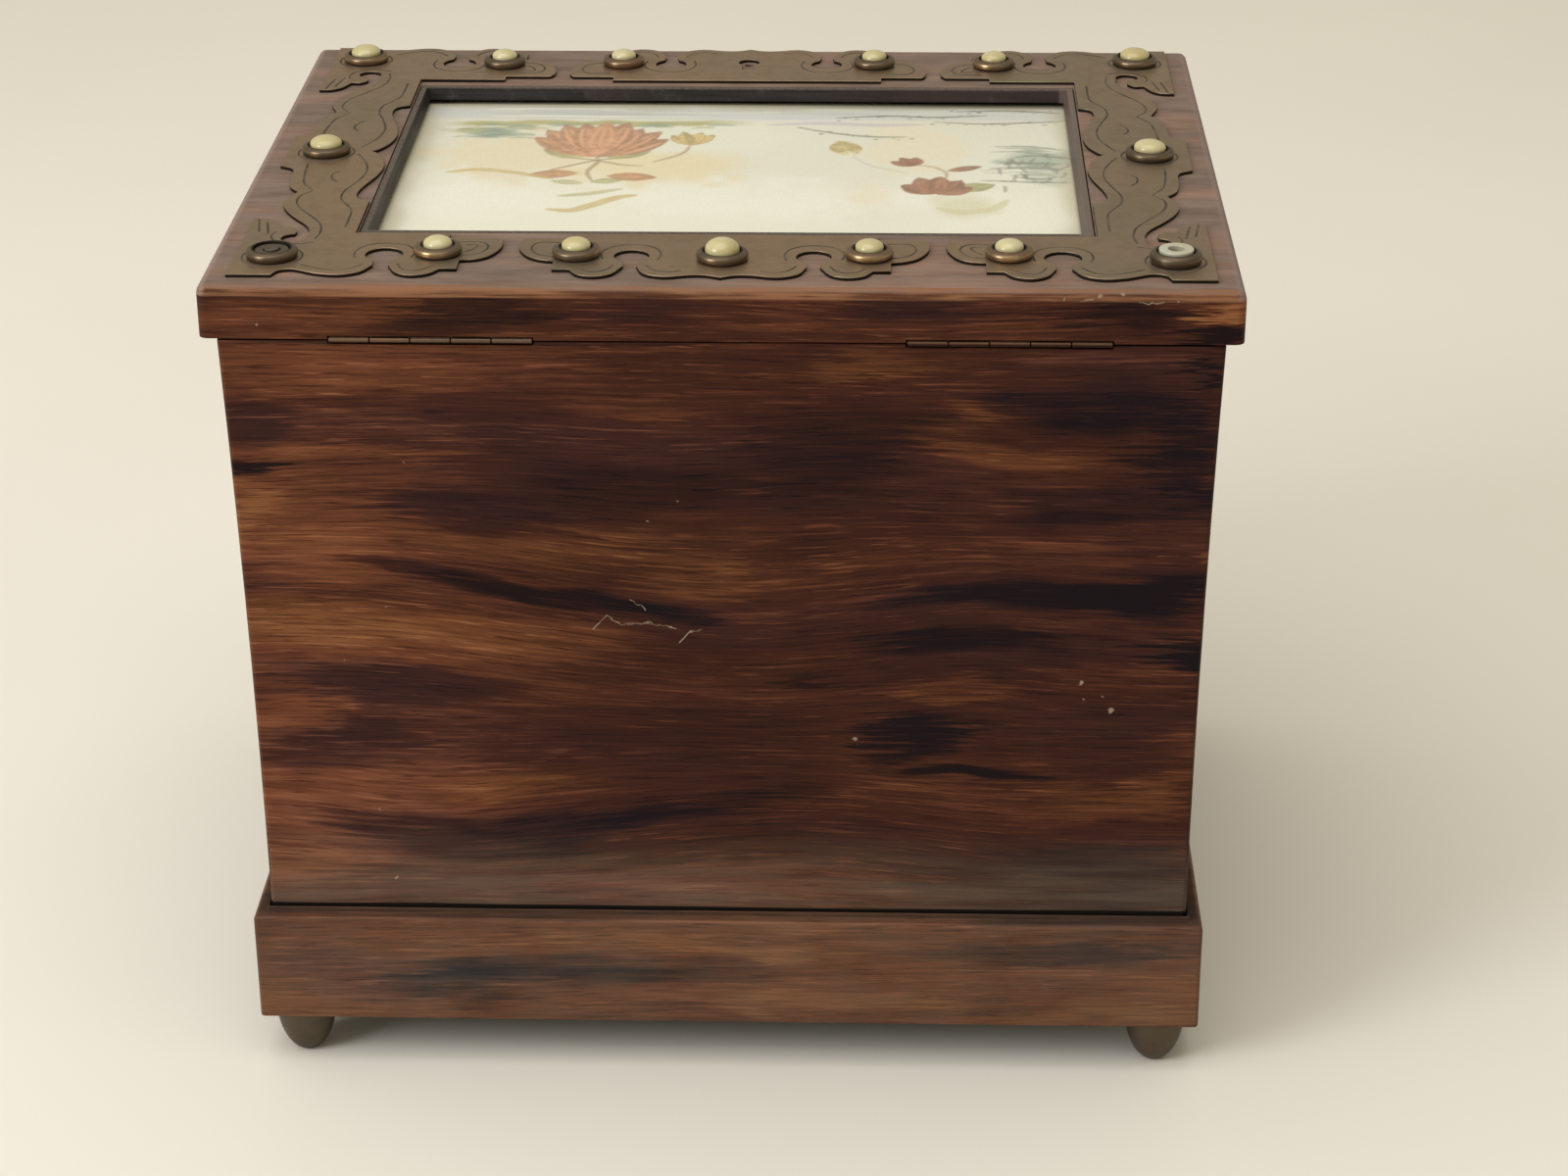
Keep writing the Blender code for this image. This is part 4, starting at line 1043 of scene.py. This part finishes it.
    # An ochre bud, and the dark flower with a small bud and a loose leaf
    art.leaf((29, 14), 13, 8.6, 106, look.ochre, 0.9)
    art.leaf((29, 14), 5, 3.6, 106, (0.860, 0.850, 0.740), 0.8)
    art.stroke([(29, 14), (34, 6), (44, 0)], 0.7, (0.740, 0.720, 0.660), 0.6)
    art.wash((57, -24), (9, 9), (0.795, 0.785, 0.660), 0.7, seed=15, rag=0.3)
    art.stroke([(50, -26), (56, -30), (64, -27), (68, -20)], 3.4, (0.760, 0.745, 0.590), 0.6, 0.2)
    art.leaf((54, -13), 12, 7.0, 22, look.moss, 0.85)
    art.cup((50, -16), 14, 7.4, [30, 58, 84, 108, 140], look.peony, rng)
    art.stroke([(52, -6), (53, 0), (50, 5), (45, 7)], 0.8, stem, 0.6)
    art.cup((45, 6), 8, 4.4, [88, 118, 150], look.peony, rng)
    art.leaf((53, 2), 10, 4.0, 24, look.peony, 0.85)

    # Twigs with buds over the water at the right
    twigs = [
        [(24, 46), (38, 48.0), (50, 47.0), (64, 48.6)],
        [(56, 52), (70, 53), (84, 51)],
        [(14, 38), (24, 33), (34, 30), (43, 30)],
        [(50, 43), (62, 41.5), (74, 42.5), (84, 44)],
    ]
    for run in twigs:
        art.stroke(run, 0.9, look.ink, 0.8, 0.15)
        for knot in smooth_run(run, 4):
            spot = (knot[0] + rng.uniform(-1.5, 1.5), knot[1] - rng.uniform(-1.4, 2.4))
            size = rng.uniform(0.4, 0.8)
            art.wash(spot, (size, size), look.ink, 0.5 * rng.random() + 0.2, rag=0.0)

    # Reeds bent over the water at the right edge
    art.wash((77, 12), (10, 8), sage, 0.6, seed=17)
    art.wash((80, -2), (6, 9), (0.660, 0.700, 0.640), 0.5, seed=18)
    for i in range(15):
        left, level = rng.uniform(58, 74), 23 - 2.0 * i + rng.uniform(-1, 1)
        sag = rng.uniform(-2.0, 2.0)
        tip = (rng.uniform(80, 85), level + rng.uniform(-3, 1))
        run = [(left, level), ((left + 84) / 2, level + sag), tip]
        art.stroke(run, rng.uniform(0.6, 1.3), look.ink, rng.uniform(0.35, 0.7), 0.3)
    for _ in range(20):
        left, level = rng.uniform(66, 84), rng.uniform(-12, 20)
        run = [(left, level), (left + rng.uniform(-1, 1), level - 2), (left + rng.uniform(-2, 2), level - 5)]
        art.stroke(run, 0.8, look.ink, 0.5)

    # Yellowed and soiled towards the moulding
    edge = np.minimum(87.0 - np.abs(x), 59.0 - np.abs(y))
    soil = np.clip(1 - (edge - 1.5) / (4.0 + 6.0 * cloud(x, y, 12.0, 19)), 0, 1) ** 1.5
    art.lay(0.6 * soil, (0.620, 0.580, 0.440))
    return art.colour


def linear(colour):
    """Screen colours as linear light."""
    return np.where(colour <= 0.04045, colour / 12.92, ((np.clip(colour, 0, 1) + 0.055) / 1.055) ** 2.4)


# Engraved lines, in millimetres from the middle of the picture, on one quarter of a mount
SIDE_LINES = [
    [
        (95.6, 2.6), (93.6, 7.0), (91.9, 12.5), (91.6, 19.0), (93.2, 26.0), (94.9, 32.0), (94.8, 37.5),
        (92.8, 42.0), (91.1, 46.0), (90.8, 52.0), (90.8, 58.4),
    ],
    [(107.0, 10.6), (106.8, 16.0), (106.4, 21.0), (105.6, 26.0), (102.8, 31.2)],
    [
        (102.6, 31.6), (105.0, 35.5), (105.3, 40.0), (103.6, 45.0), (100.2, 50.5), (97.2, 56.0),
        (96.2, 62.0), (96.8, 67.0),
    ],
    [(98.2, 16.5), (99.6, 18.6), (99.4, 22.0), (97.8, 24.6)],
    [(112.2, 52.8), (111.6, 57.0), (110.8, 62.0)],
    [(110.0, 54.8), (109.2, 59.0), (108.4, 63.5)],
    [(63.2, 68.4), (57.0, 68.6), (55.2, 72.2), (56.8, 76.0), (59.4, 77.6), (61.8, 77.8)],
    [(60.6, 70.4), (57.9, 70.5), (58.4, 73.0), (60.2, 75.2)],
    [(66.2, 84.4), (68.6, 87.2), (71.4, 88.4), (73.8, 86.8), (75.0, 83.6)],
    [
        (72.4, 79.6), (72.0, 75.6), (73.6, 71.8), (77.2, 69.8), (81.6, 70.0), (84.8, 72.4),
        (86.0, 76.2), (85.4, 80.0),
    ],
    [(83.0, 83.8), (85.4, 86.8), (88.6, 88.2), (93.0, 87.2), (97.4, 84.8)],
    [(96.8, 69.2), (99.8, 70.4), (103.6, 70.0), (106.4, 68.0), (107.4, 64.8), (106.8, 61.8)],
]
MIDDLE_LINES = [
    [(37.2, 68.4), (43.4, 68.6), (45.0, 72.4), (43.6, 76.2), (41.0, 77.8), (38.4, 78.2)],
    [(33.8, 84.4), (31.6, 87.4), (29.0, 88.4), (26.4, 86.8), (25.0, 83.6)],
    [
        (27.8, 79.6), (28.4, 75.6), (26.6, 71.8), (23.2, 70.0), (19.0, 70.0), (15.6, 72.4),
        (14.4, 76.2), (15.0, 80.2),
    ],
    [(17.4, 83.8), (15.4, 87.0), (12.4, 88.2), (9.2, 87.4)],
]


def stud_rings(*studs):
    """Engraved rings close round studs, open for a little at the far side."""
    rings = []
    for stud in studs:
        middle, radius, _ = round_box("collet_" + stud)
        radius += 0.9 * MM
        rings.append(round_run(middle, (radius, radius), 95, 445, 48))
    return rings


def flipped(lines, x_sign, y_sign):
    """Places on the lid of drawn lines, mirrored by the signs."""
    return [[(x_sign * x * MM, PATTERN_Y + y_sign * y * MM) for x, y in smooth_run(line)] for line in lines]


def graver_cuts(name, runs, width, z):
    """Cutters for engraved lines: thin tubes with their middle at height z."""
    data = bpy.data.curves.new(name, "CURVE")
    data.dimensions = "3D"
    data.bevel_depth = width / 2
    data.bevel_resolution = 1
    data.use_fill_caps = True
    for run in runs:
        spline = data.splines.new("POLY")
        spline.points.add(len(run) - 1)
        for point, (x, y) in zip(spline.points, run):
            point.co = (x, y, z, 1.0)
    line = bpy.data.objects.new(name, data)
    bpy.context.scene.collection.objects.link(line)
    bpy.context.view_layer.update()
    made = bpy.data.meshes.new_from_object(line.evaluated_get(bpy.context.evaluated_depsgraph_get()))
    bpy.data.objects.remove(line, do_unlink=True)
    bm = bmesh.new()
    bm.from_mesh(made)
    bmesh.ops.remove_doubles(bm, verts=bm.verts, dist=MERGE / 2)
    bmesh.ops.recalc_face_normals(bm, faces=bm.faces)
    bm.to_mesh(made)
    bm.free()
    return made


def cut_away(piece_mesh, cutter_mesh):
    """The mesh that is left when the cutter is taken out of the piece."""
    piece = bpy.data.objects.new("cut_piece", piece_mesh)
    cutter = bpy.data.objects.new("cutter", cutter_mesh)
    for obj in (piece, cutter):
        bpy.context.scene.collection.objects.link(obj)
    boolean = piece.modifiers.new("cut", "BOOLEAN")
    boolean.operation = "DIFFERENCE"
    boolean.solver = "EXACT"
    boolean.object = cutter
    boolean.material_mode = "TRANSFER"
    bpy.context.view_layer.update()
    made = bpy.data.meshes.new_from_object(piece.evaluated_get(bpy.context.evaluated_depsgraph_get()))
    for obj in (piece, cutter):
        bpy.data.objects.remove(obj, do_unlink=True)
    if len(made.polygons) <= len(piece_mesh.polygons):
        raise RuntimeError("the engraved lines didn't cut into " + piece_mesh.name)
    return made


def make_wooden(name, node, material, body):
    """A wooden piece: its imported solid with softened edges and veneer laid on."""
    bm = node_copy(node)
    soften(bm, sharp_edges(bm, 40.0), props("wood").edge_round)
    bm.normal_update()
    lay_grain(bm)
    return add_piece(name, bm, [material], body, "rosewood", node)


def make_box():
    f = Rosewood("rosewood_box", BOX_PATCHES, GRAIN_SLANTS)
    f.rub_corners(BODY_LOW, BODY_HIGH, SIDE_DRAW / (BODY_HIGH.z - PLINTH_HIGH.z))
    f.darken_seam(BODY_HIGH.z)
    f.settle_dust_and_foot_shadow(PLINTH_HIGH.z)
    f.scratch(BOX_SCRATCHES, BOX_FLECKS)
    return make_wooden("box_wood", "body", f.polish(), "box")


def make_plinth():
    f = Rosewood("rosewood_plinth", PLINTH_PATCHES, elsewhere=0.20)
    f.veil(0.40)
    f.stain(PLINTH_STAINS)
    f.darken_ledge(PLINTH_HIGH.z - 1.2 * MM)
    return make_wooden("plinth_wood", "plinth", f.polish(), "box")


def make_lid():
    f = Rosewood("rosewood_lid", LID_PATCHES)
    f.dull_top_and_sheen(LID_TOP)
    f.scratch(LID_SCRATCHES, LID_FLECKS)
    return make_wooden("lid_wood", "lid", f.polish(), "lid")


def make_moulding():
    bm = node_copy("picture_moulding")
    soften(bm, sharp_edges(bm, 25.0), 0.12 * MM)
    bm.normal_update()
    layer = bm.loops.layers.uv.new("grain")
    for face in bm.faces:
        middle = face.calc_center_median()
        run_x = abs(middle.y - PATTERN_Y) > PICTURE_HIGH.y - PATTERN_Y - 3.0 * MM
        for loop in face.loops:
            co = loop.vert.co
            loop[layer].uv = (co.x, co.y + co.z) if run_x else (co.y, co.x + co.z)
    return add_piece("moulding_wood", bm, [dark_moulding()], "lid", "dark_moulding", "picture_moulding")


def make_picture():
    """The painted panel: a fine grid that carries the paint, with a thickness of its own."""
    step = props("picture").grid
    size = PICTURE_HIGH - PICTURE_LOW
    columns, rows = round(size.x / step), round(size.y / step)
    bm = bmesh.new()
    bmesh.ops.create_grid(bm, x_segments=columns, y_segments=rows, size=0.5)
    bmesh.ops.scale(bm, vec=(size.x, size.y, 1.0), verts=bm.verts)
    bmesh.ops.translate(bm, vec=(0.0, PATTERN_Y, PICTURE_HIGH.z), verts=bm.verts)
    rim = [e for e in bm.edges if e.is_boundary]
    skirt = bmesh.ops.extrude_edge_only(bm, edges=rim)
    low = [v for v in skirt["geom"] if isinstance(v, bmesh.types.BMVert)]
    bmesh.ops.translate(bm, vec=(0.0, 0.0, PICTURE_LOW.z - PICTURE_HIGH.z), verts=low)
    bmesh.ops.holes_fill(bm, edges=[e for e in bm.edges if e.is_boundary], sides=0)
    bmesh.ops.recalc_face_normals(bm, faces=bm.faces)
    panel = add_piece("painted_panel", bm, [painted_paper()], "lid", "painted_panel", "picture", even=False)
    points = np.zeros(len(panel.data.vertices) * 3)
    panel.data.vertices.foreach_get("co", points)
    points = points.reshape(-1, 3)
    colours = linear(paint_garden(points[:, 0] / MM, (points[:, 1] - PATTERN_Y) / MM))
    paint = panel.data.attributes.new("paint", "FLOAT_COLOR", "POINT")
    paint.data.foreach_set("color", np.hstack([colours, np.ones((len(colours), 1))]).ravel())
    return panel


def make_mount(node, runs, brass, tarnish):
    """A sheet brass mount that lies on the lid, with rounded edges and engraved lines."""
    look = props("brass")
    bm = node_copy(node)
    low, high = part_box(node)
    for vert in bm.verts:
        if vert.co.z < (low.z + high.z) / 2:
            vert.co.z = LID_TOP
    bm.normal_update()
    top = [f for f in bm.faces if f.normal.z > 0.9]
    outline = list({e for f in top for e in f.edges if e.calc_face_angle(0.0) > 0.5})
    soften(bm, outline, look.edge_round)
    sheet = bpy.data.meshes.new(node + "_sheet")
    bm.to_mesh(sheet)
    bm.free()
    sheet.materials.append(brass)
    cutter = graver_cuts(node + "_lines", runs, look.line_width, high.z + 0.2 * look.line_width)
    cutter.materials.clear()
    cutter.materials.append(tarnish)
    mesh = cut_away(sheet, cutter)
    bm = bmesh.new()
    bm.from_mesh(mesh)
    return add_piece(node + "_brass", bm, list(mesh.materials), "lid", "strapwork_brass", node, sharp=40.0)


def make_strapwork():
    """The four mounts, each with its own engraved lines."""
    brass = old_brass("strapwork_brass", side_z=STRAP_TOP - 0.12 * MM)
    tarnish = groove_tarnish()
    lines = {
        "strapwork_left": flipped(SIDE_LINES, -1, 1) + flipped(SIDE_LINES, -1, -1),
        "strapwork_right": flipped(SIDE_LINES, 1, 1) + flipped(SIDE_LINES, 1, -1),
        "strapwork_back": flipped(MIDDLE_LINES, 1, -1) + flipped(MIDDLE_LINES, -1, -1),
        "strapwork_front": flipped(MIDDLE_LINES, 1, 1) + flipped(MIDDLE_LINES, -1, 1),
    }
    lines["strapwork_left"] += stud_rings("side_left", "back_1", "front_1")
    lines["strapwork_right"] += stud_rings("side_right", "back_7", "front_7")
    return [make_mount(node, runs, brass, tarnish) for node, runs in lines.items()]


def collet_profile(radius, seat, height, centre):
    """A collet from its base's middle to its seat's middle: a bulging band, a slope and a rim."""
    bulge, middle = 0.78 * MM, 0.46 * height
    band = round_run((radius - bulge, middle), (bulge, middle), -72, 58, 9)
    slope = [(seat + 0.56 * MM, height - 0.06 * MM)]
    rim = round_run((seat + 0.26 * MM, height - 0.24 * MM), (0.26 * MM, 0.24 * MM), 60, 180, 5)
    return [(0.0, 0.0)] + band + slope + rim + [(seat, 0.75 * MM)] + centre


def lay_turning(bm, middle, seat):
    """A UV map for a turned piece: how far outside its seat, and how high above its foot."""
    layer = bm.loops.layers.uv.new("turned")
    for face in bm.faces:
        for loop in face.loops:
            off = loop.vert.co - middle
            loop[layer].uv = (math.hypot(off.x, off.y) - seat, off.z)


def make_collets():
    """The turned collets, standing on the mounts."""
    # Two brasses: a dull one, and a redder one whose crest has a stronger painted glint
    dull = old_brass("collet_brass_dull", shade=0.50, warmth=0.3, crest_wear_and_glint=0.22)
    copper_glint = old_brass("collet_brass_copper_glint", shade=0.58, warmth=0.9, crest_wear_and_glint=0.75)
    base_z = STRAP_TOP - PLAY
    held = nodes_of("cabochon_")
    pieces = []
    for node in nodes_of("collet_"):
        stud = node.removeprefix("collet_")
        middle, radius, height = round_box(node)
        height += middle.z - base_z - PLAY
        middle.z = base_z
        seat = WIDE_SEAT
        if "cabochon_" + stud in held:
            seat = round_box("cabochon_" + stud)[1] + 0.3 * MM
        floor = 1.0 * MM
        centre = [(seat - 0.05 * MM, floor), (0.0, floor)]
        if stud == "back_1":
            floor, gap, head = 1.75 * MM, 1.25 * MM, 2.2 * MM
            centre = [(seat - 0.4 * MM, floor), (2.1 * MM, floor), (2.0 * MM, gap), (1.8 * MM, gap)]
            centre += [(1.8 * MM, head - 0.15 * MM), (1.65 * MM, head), (0.9 * MM, head - 0.1 * MM)]
            centre += [(0.0, head - 0.25 * MM)]
        if stud == "back_7":
            pin, top = 1.5 * MM, 2.15 * MM
            centre = [(seat - 0.05 * MM, floor), (pin, floor), (pin, top - 0.2 * MM)]
            centre += [(pin - 0.2 * MM, top), (0.0, top)]
        bm = spin_profile(collet_profile(radius, seat, height, centre))
        bmesh.ops.translate(bm, vec=middle, verts=bm.verts)
        lay_turning(bm, middle, seat)
        material = copper_glint if stud in COPPER_GLINT_STUDS else dull
        pieces.append(add_piece(node + "_turned", bm, [material], "lid", "collet_brass", node))
    return pieces


def make_cabochons():
    """The ivory cabochons, no two set quite alike."""
    rng = random.Random(5)
    material = ivory("ivory_cabochon", props("ivory").ivory)
    pieces = []
    for node in nodes_of("cabochon_"):
        middle, radius, height = round_box(node)
        girdle, chamfer = 1.1 * MM, 0.15 * MM
        dome = height - girdle
        profile = [(0.0, -SINK), (radius - chamfer, -SINK), (radius, chamfer - SINK), (radius, girdle)]
        for a in np.radians(np.linspace(9, 90, 10)):
            profile.append((radius * math.cos(a), girdle + dome * math.sin(a)))
        bm = spin_profile(profile)
        tilts = [Matrix.Rotation(math.radians(rng.uniform(-1.6, 1.6)), 3, axis) for axis in "XY"]
        bmesh.ops.rotate(bm, cent=(0, 0, girdle), matrix=tilts[0] @ tilts[1], verts=bm.verts)
        size = rng.uniform(0.97, 1.0)
        bmesh.ops.scale(bm, vec=(size, size, size), verts=bm.verts)
        bmesh.ops.translate(bm, vec=middle, verts=bm.verts)
        pieces.append(add_piece(node + "_polished", bm, [material], "lid", "ivory", node))
    return pieces


def make_ring():
    """The flat bone ring round its pin."""
    middle, outer, height = round_box("bone_ring")
    hole, soft = 1.95 * MM, 0.25 * MM
    profile = [(hole, -SINK), (outer, -SINK), (outer, height - soft)]
    profile += round_run((outer - soft, height - soft), (soft, soft), 0, 90, 4)[1:]
    profile += round_run((hole + soft, height - soft), (soft, soft), 90, 180, 4) + [(hole, -SINK)]
    bm = spin_profile(profile)
    bmesh.ops.translate(bm, vec=middle, verts=bm.verts)
    material = ivory("bone_ring", props("ivory").bone)
    return add_piece("bone_ring_polished", bm, [material], "lid", "bone", "bone_ring")


def make_feet():
    """The bullet feet, dull and knocked."""
    material = old_brass("foot_brass", shade=0.40, warmth=0.2, grain=0.5)
    pieces = []
    for node in nodes_of("foot_"):
        middle, radius, _ = round_box(node)
        top, spot = PLINTH_LOW.z, 2.5 * MM
        drop = top / math.sqrt(1 - (spot / radius) ** 2)
        angles = np.linspace(0.0, math.acos(spot / radius), 20)
        profile = [(0.0, top), (radius, top)]
        profile += [(radius * math.cos(a), top - drop * math.sin(a)) for a in angles[1:]] + [(0.0, 0.0)]
        bm = spin_profile(profile[::-1])
        bmesh.ops.translate(bm, vec=middle, verts=bm.verts)
        pieces.append(add_piece(node + "_turned", bm, [material], "box", "foot_brass", node))
    return pieces


def make_hinges():
    """The hinge leaves, with softened edges."""
    seam_z = BODY_HIGH.z
    pale = old_brass("hinge_brass_pale", shade=0.70, warmth=1.0, stain=0.5, shade_below_z=seam_z + 0.15 * MM)
    dark = old_brass("hinge_brass_dark", shade=0.50, warmth=1.0, stain=0.75, shade_below_z=seam_z + 0.4 * MM)
    pieces = []
    for node in nodes_of("hinge_"):
        bm = node_copy(node)
        soften(bm, sharp_edges(bm, 50.0), 0.06 * MM, 1)
        body = "lid" if "_lid_" in node else "box"
        material = pale if "_left_" in node else dark
        pieces.append(add_piece(node + "_brass", bm, [material], body, "hinge_brass", node))
    return pieces


def area_light(name, place, target, size, power, colour):
    """A soft light that looks at a point."""
    data = bpy.data.lights.new(name, "AREA")
    data.shape = "DISK"
    data.size = size
    data.energy = power
    data.color = colour
    light = bpy.data.objects.new(name, data)
    light.location = place
    light.rotation_euler = (Vector(target) - Vector(place)).to_track_quat("-Z", "Y").to_euler()
    bpy.context.scene.collection.objects.link(light)
    return light


def make_stage():
    """A pale floor, soft light from the left and above, and the camera."""
    stage = props("stage")
    bm = bmesh.new()
    bmesh.ops.create_grid(bm, x_segments=8, y_segments=8, size=6.0)
    mesh = bpy.data.meshes.new("floor")
    bm.to_mesh(mesh)
    bm.free()
    mesh.materials.append(pale_floor())
    floor = bpy.data.objects.new("floor", mesh)
    bpy.context.scene.collection.objects.link(floor)
    area_light("key", (-1.6, -1.2, 1.1), (0, 0, 0.1), 1.0, stage.key_power, (0.97, 0.985, 1.0))
    area_light("overhead", (-0.3, -0.35, 1.9), (0, 0, 0.15), 2.2, stage.fill_power, (1.0, 0.99, 0.97))
    world = bpy.data.worlds.new("soft_light")
    world.use_nodes = True
    background = world.node_tree.nodes["Background"]
    background.inputs["Color"].default_value = (1.0, 0.90, 0.70, 1.0)
    background.inputs["Strength"].default_value = stage.sky
    bpy.context.scene.world = world
    bpy.context.scene.view_settings.view_transform = "Standard"

    data = bpy.data.cameras.new("camera")
    data.sensor_width = 36.0
    data.lens = stage.focal
    camera = bpy.data.objects.new("camera", data)
    pitch, yaw, roll = math.radians(25.12), math.radians(1.87), math.radians(-0.29)
    aim = Matrix.Rotation(yaw, 4, "Z") @ Matrix.Rotation(math.pi / 2 - pitch, 4, "X")
    place = Matrix.Translation((0.03888, -0.83983, 0.48082))
    camera.matrix_world = place @ aim @ Matrix.Rotation(roll, 4, "Z")
    bpy.context.scene.collection.objects.link(camera)
    bpy.context.scene.camera = camera


class TREASURE_OT_box(bpy.types.Operator):
    """Lay rosewood veneer on the box."""

    bl_idname = "treasure.box"
    bl_label = "Dress the box"

    def execute(self, context):
        make_box()
        return {"FINISHED"}


class TREASURE_OT_plinth(bpy.types.Operator):
    """Lay rosewood veneer on the plinth."""

    bl_idname = "treasure.plinth"
    bl_label = "Dress the plinth"

    def execute(self, context):
        make_plinth()
        return {"FINISHED"}


class TREASURE_OT_feet(bpy.types.Operator):
    """Turn the four bullet feet."""

    bl_idname = "treasure.feet"
    bl_label = "Turn the feet"

    def execute(self, context):
        make_feet()
        return {"FINISHED"}


class TREASURE_OT_lid(bpy.types.Operator):
    """Lay rosewood veneer on the lid."""

    bl_idname = "treasure.lid"
    bl_label = "Dress the lid"

    def execute(self, context):
        make_lid()
        return {"FINISHED"}


class TREASURE_OT_moulding(bpy.types.Operator):
    """Stain the moulding round the picture."""

    bl_idname = "treasure.moulding"
    bl_label = "Stain the moulding"

    def execute(self, context):
        make_moulding()
        return {"FINISHED"}


class TREASURE_OT_picture(bpy.types.Operator):
    """Paint the panel in the lid."""

    bl_idname = "treasure.picture"
    bl_label = "Paint the panel"

    def execute(self, context):
        make_picture()
        return {"FINISHED"}


class TREASURE_OT_strapwork(bpy.types.Operator):
    """Round and engrave the four brass mounts."""

    bl_idname = "treasure.strapwork"
    bl_label = "Engrave the strapwork"

    def execute(self, context):
        make_strapwork()
        return {"FINISHED"}


class TREASURE_OT_collets(bpy.types.Operator):
    """Turn the collets of the studs."""

    bl_idname = "treasure.collets"
    bl_label = "Turn the collets"

    def execute(self, context):
        make_collets()
        return {"FINISHED"}


class TREASURE_OT_cabochons(bpy.types.Operator):
    """Set the ivory cabochons."""

    bl_idname = "treasure.cabochons"
    bl_label = "Polish the cabochons"

    def execute(self, context):
        make_cabochons()
        return {"FINISHED"}


class TREASURE_OT_ring(bpy.types.Operator):
    """Set the flat bone ring."""

    bl_idname = "treasure.ring"
    bl_label = "Polish the bone ring"

    def execute(self, context):
        make_ring()
        return {"FINISHED"}


class TREASURE_OT_hinges(bpy.types.Operator):
    """Soften and colour the hinge leaves."""

    bl_idname = "treasure.hinges"
    bl_label = "Finish the hinges"

    def execute(self, context):
        make_hinges()
        return {"FINISHED"}


class TREASURE_OT_stage(bpy.types.Operator):
    """Lay the floor and set the lights and the camera."""

    bl_idname = "treasure.stage"
    bl_label = "Set the stage"

    def execute(self, context):
        make_stage()
        return {"FINISHED"}


OPERATORS = [
    TREASURE_OT_box,
    TREASURE_OT_plinth,
    TREASURE_OT_feet,
    TREASURE_OT_lid,
    TREASURE_OT_moulding,
    TREASURE_OT_picture,
    TREASURE_OT_strapwork,
    TREASURE_OT_collets,
    TREASURE_OT_cabochons,
    TREASURE_OT_ring,
    TREASURE_OT_hinges,
    TREASURE_OT_stage,
]
GROUPS = {
    "wood": TREASURE_PG_wood,
    "brass": TREASURE_PG_brass,
    "ivory": TREASURE_PG_ivory,
    "picture": TREASURE_PG_picture,
    "stage": TREASURE_PG_stage,
}


class TREASURE_PT_panel(bpy.types.Panel):
    """Lists the box's pieces and their settings."""

    bl_label = "Treasure Box"
    bl_idname = "TREASURE_PT_panel"
    bl_space_type = "VIEW_3D"
    bl_region_type = "UI"
    bl_category = "Treasure Box"

    def draw(self, context):
        for made in OPERATORS:
            self.layout.operator(made.bl_idname)
        for name, group in GROUPS.items():
            box = self.layout.box()
            box.label(text=name.capitalize())
            for key in group.__annotations__:
                box.prop(props(name), key)


def register():
    for cls in [*GROUPS.values(), *OPERATORS, TREASURE_PT_panel]:
        bpy.utils.register_class(cls)
    for name, group in GROUPS.items():
        setattr(bpy.types.Scene, "treasure_" + name, PointerProperty(type=group))


def unregister():
    for name in GROUPS:
        delattr(bpy.types.Scene, "treasure_" + name)
    for cls in [TREASURE_PT_panel, *reversed(OPERATORS), *reversed(GROUPS.values())]:
        bpy.utils.unregister_class(cls)


def main():
    register()
    for made in OPERATORS:
        getattr(bpy.ops.treasure, made.bl_idname.split(".")[1])()


if __name__ == "__main__":
    main()
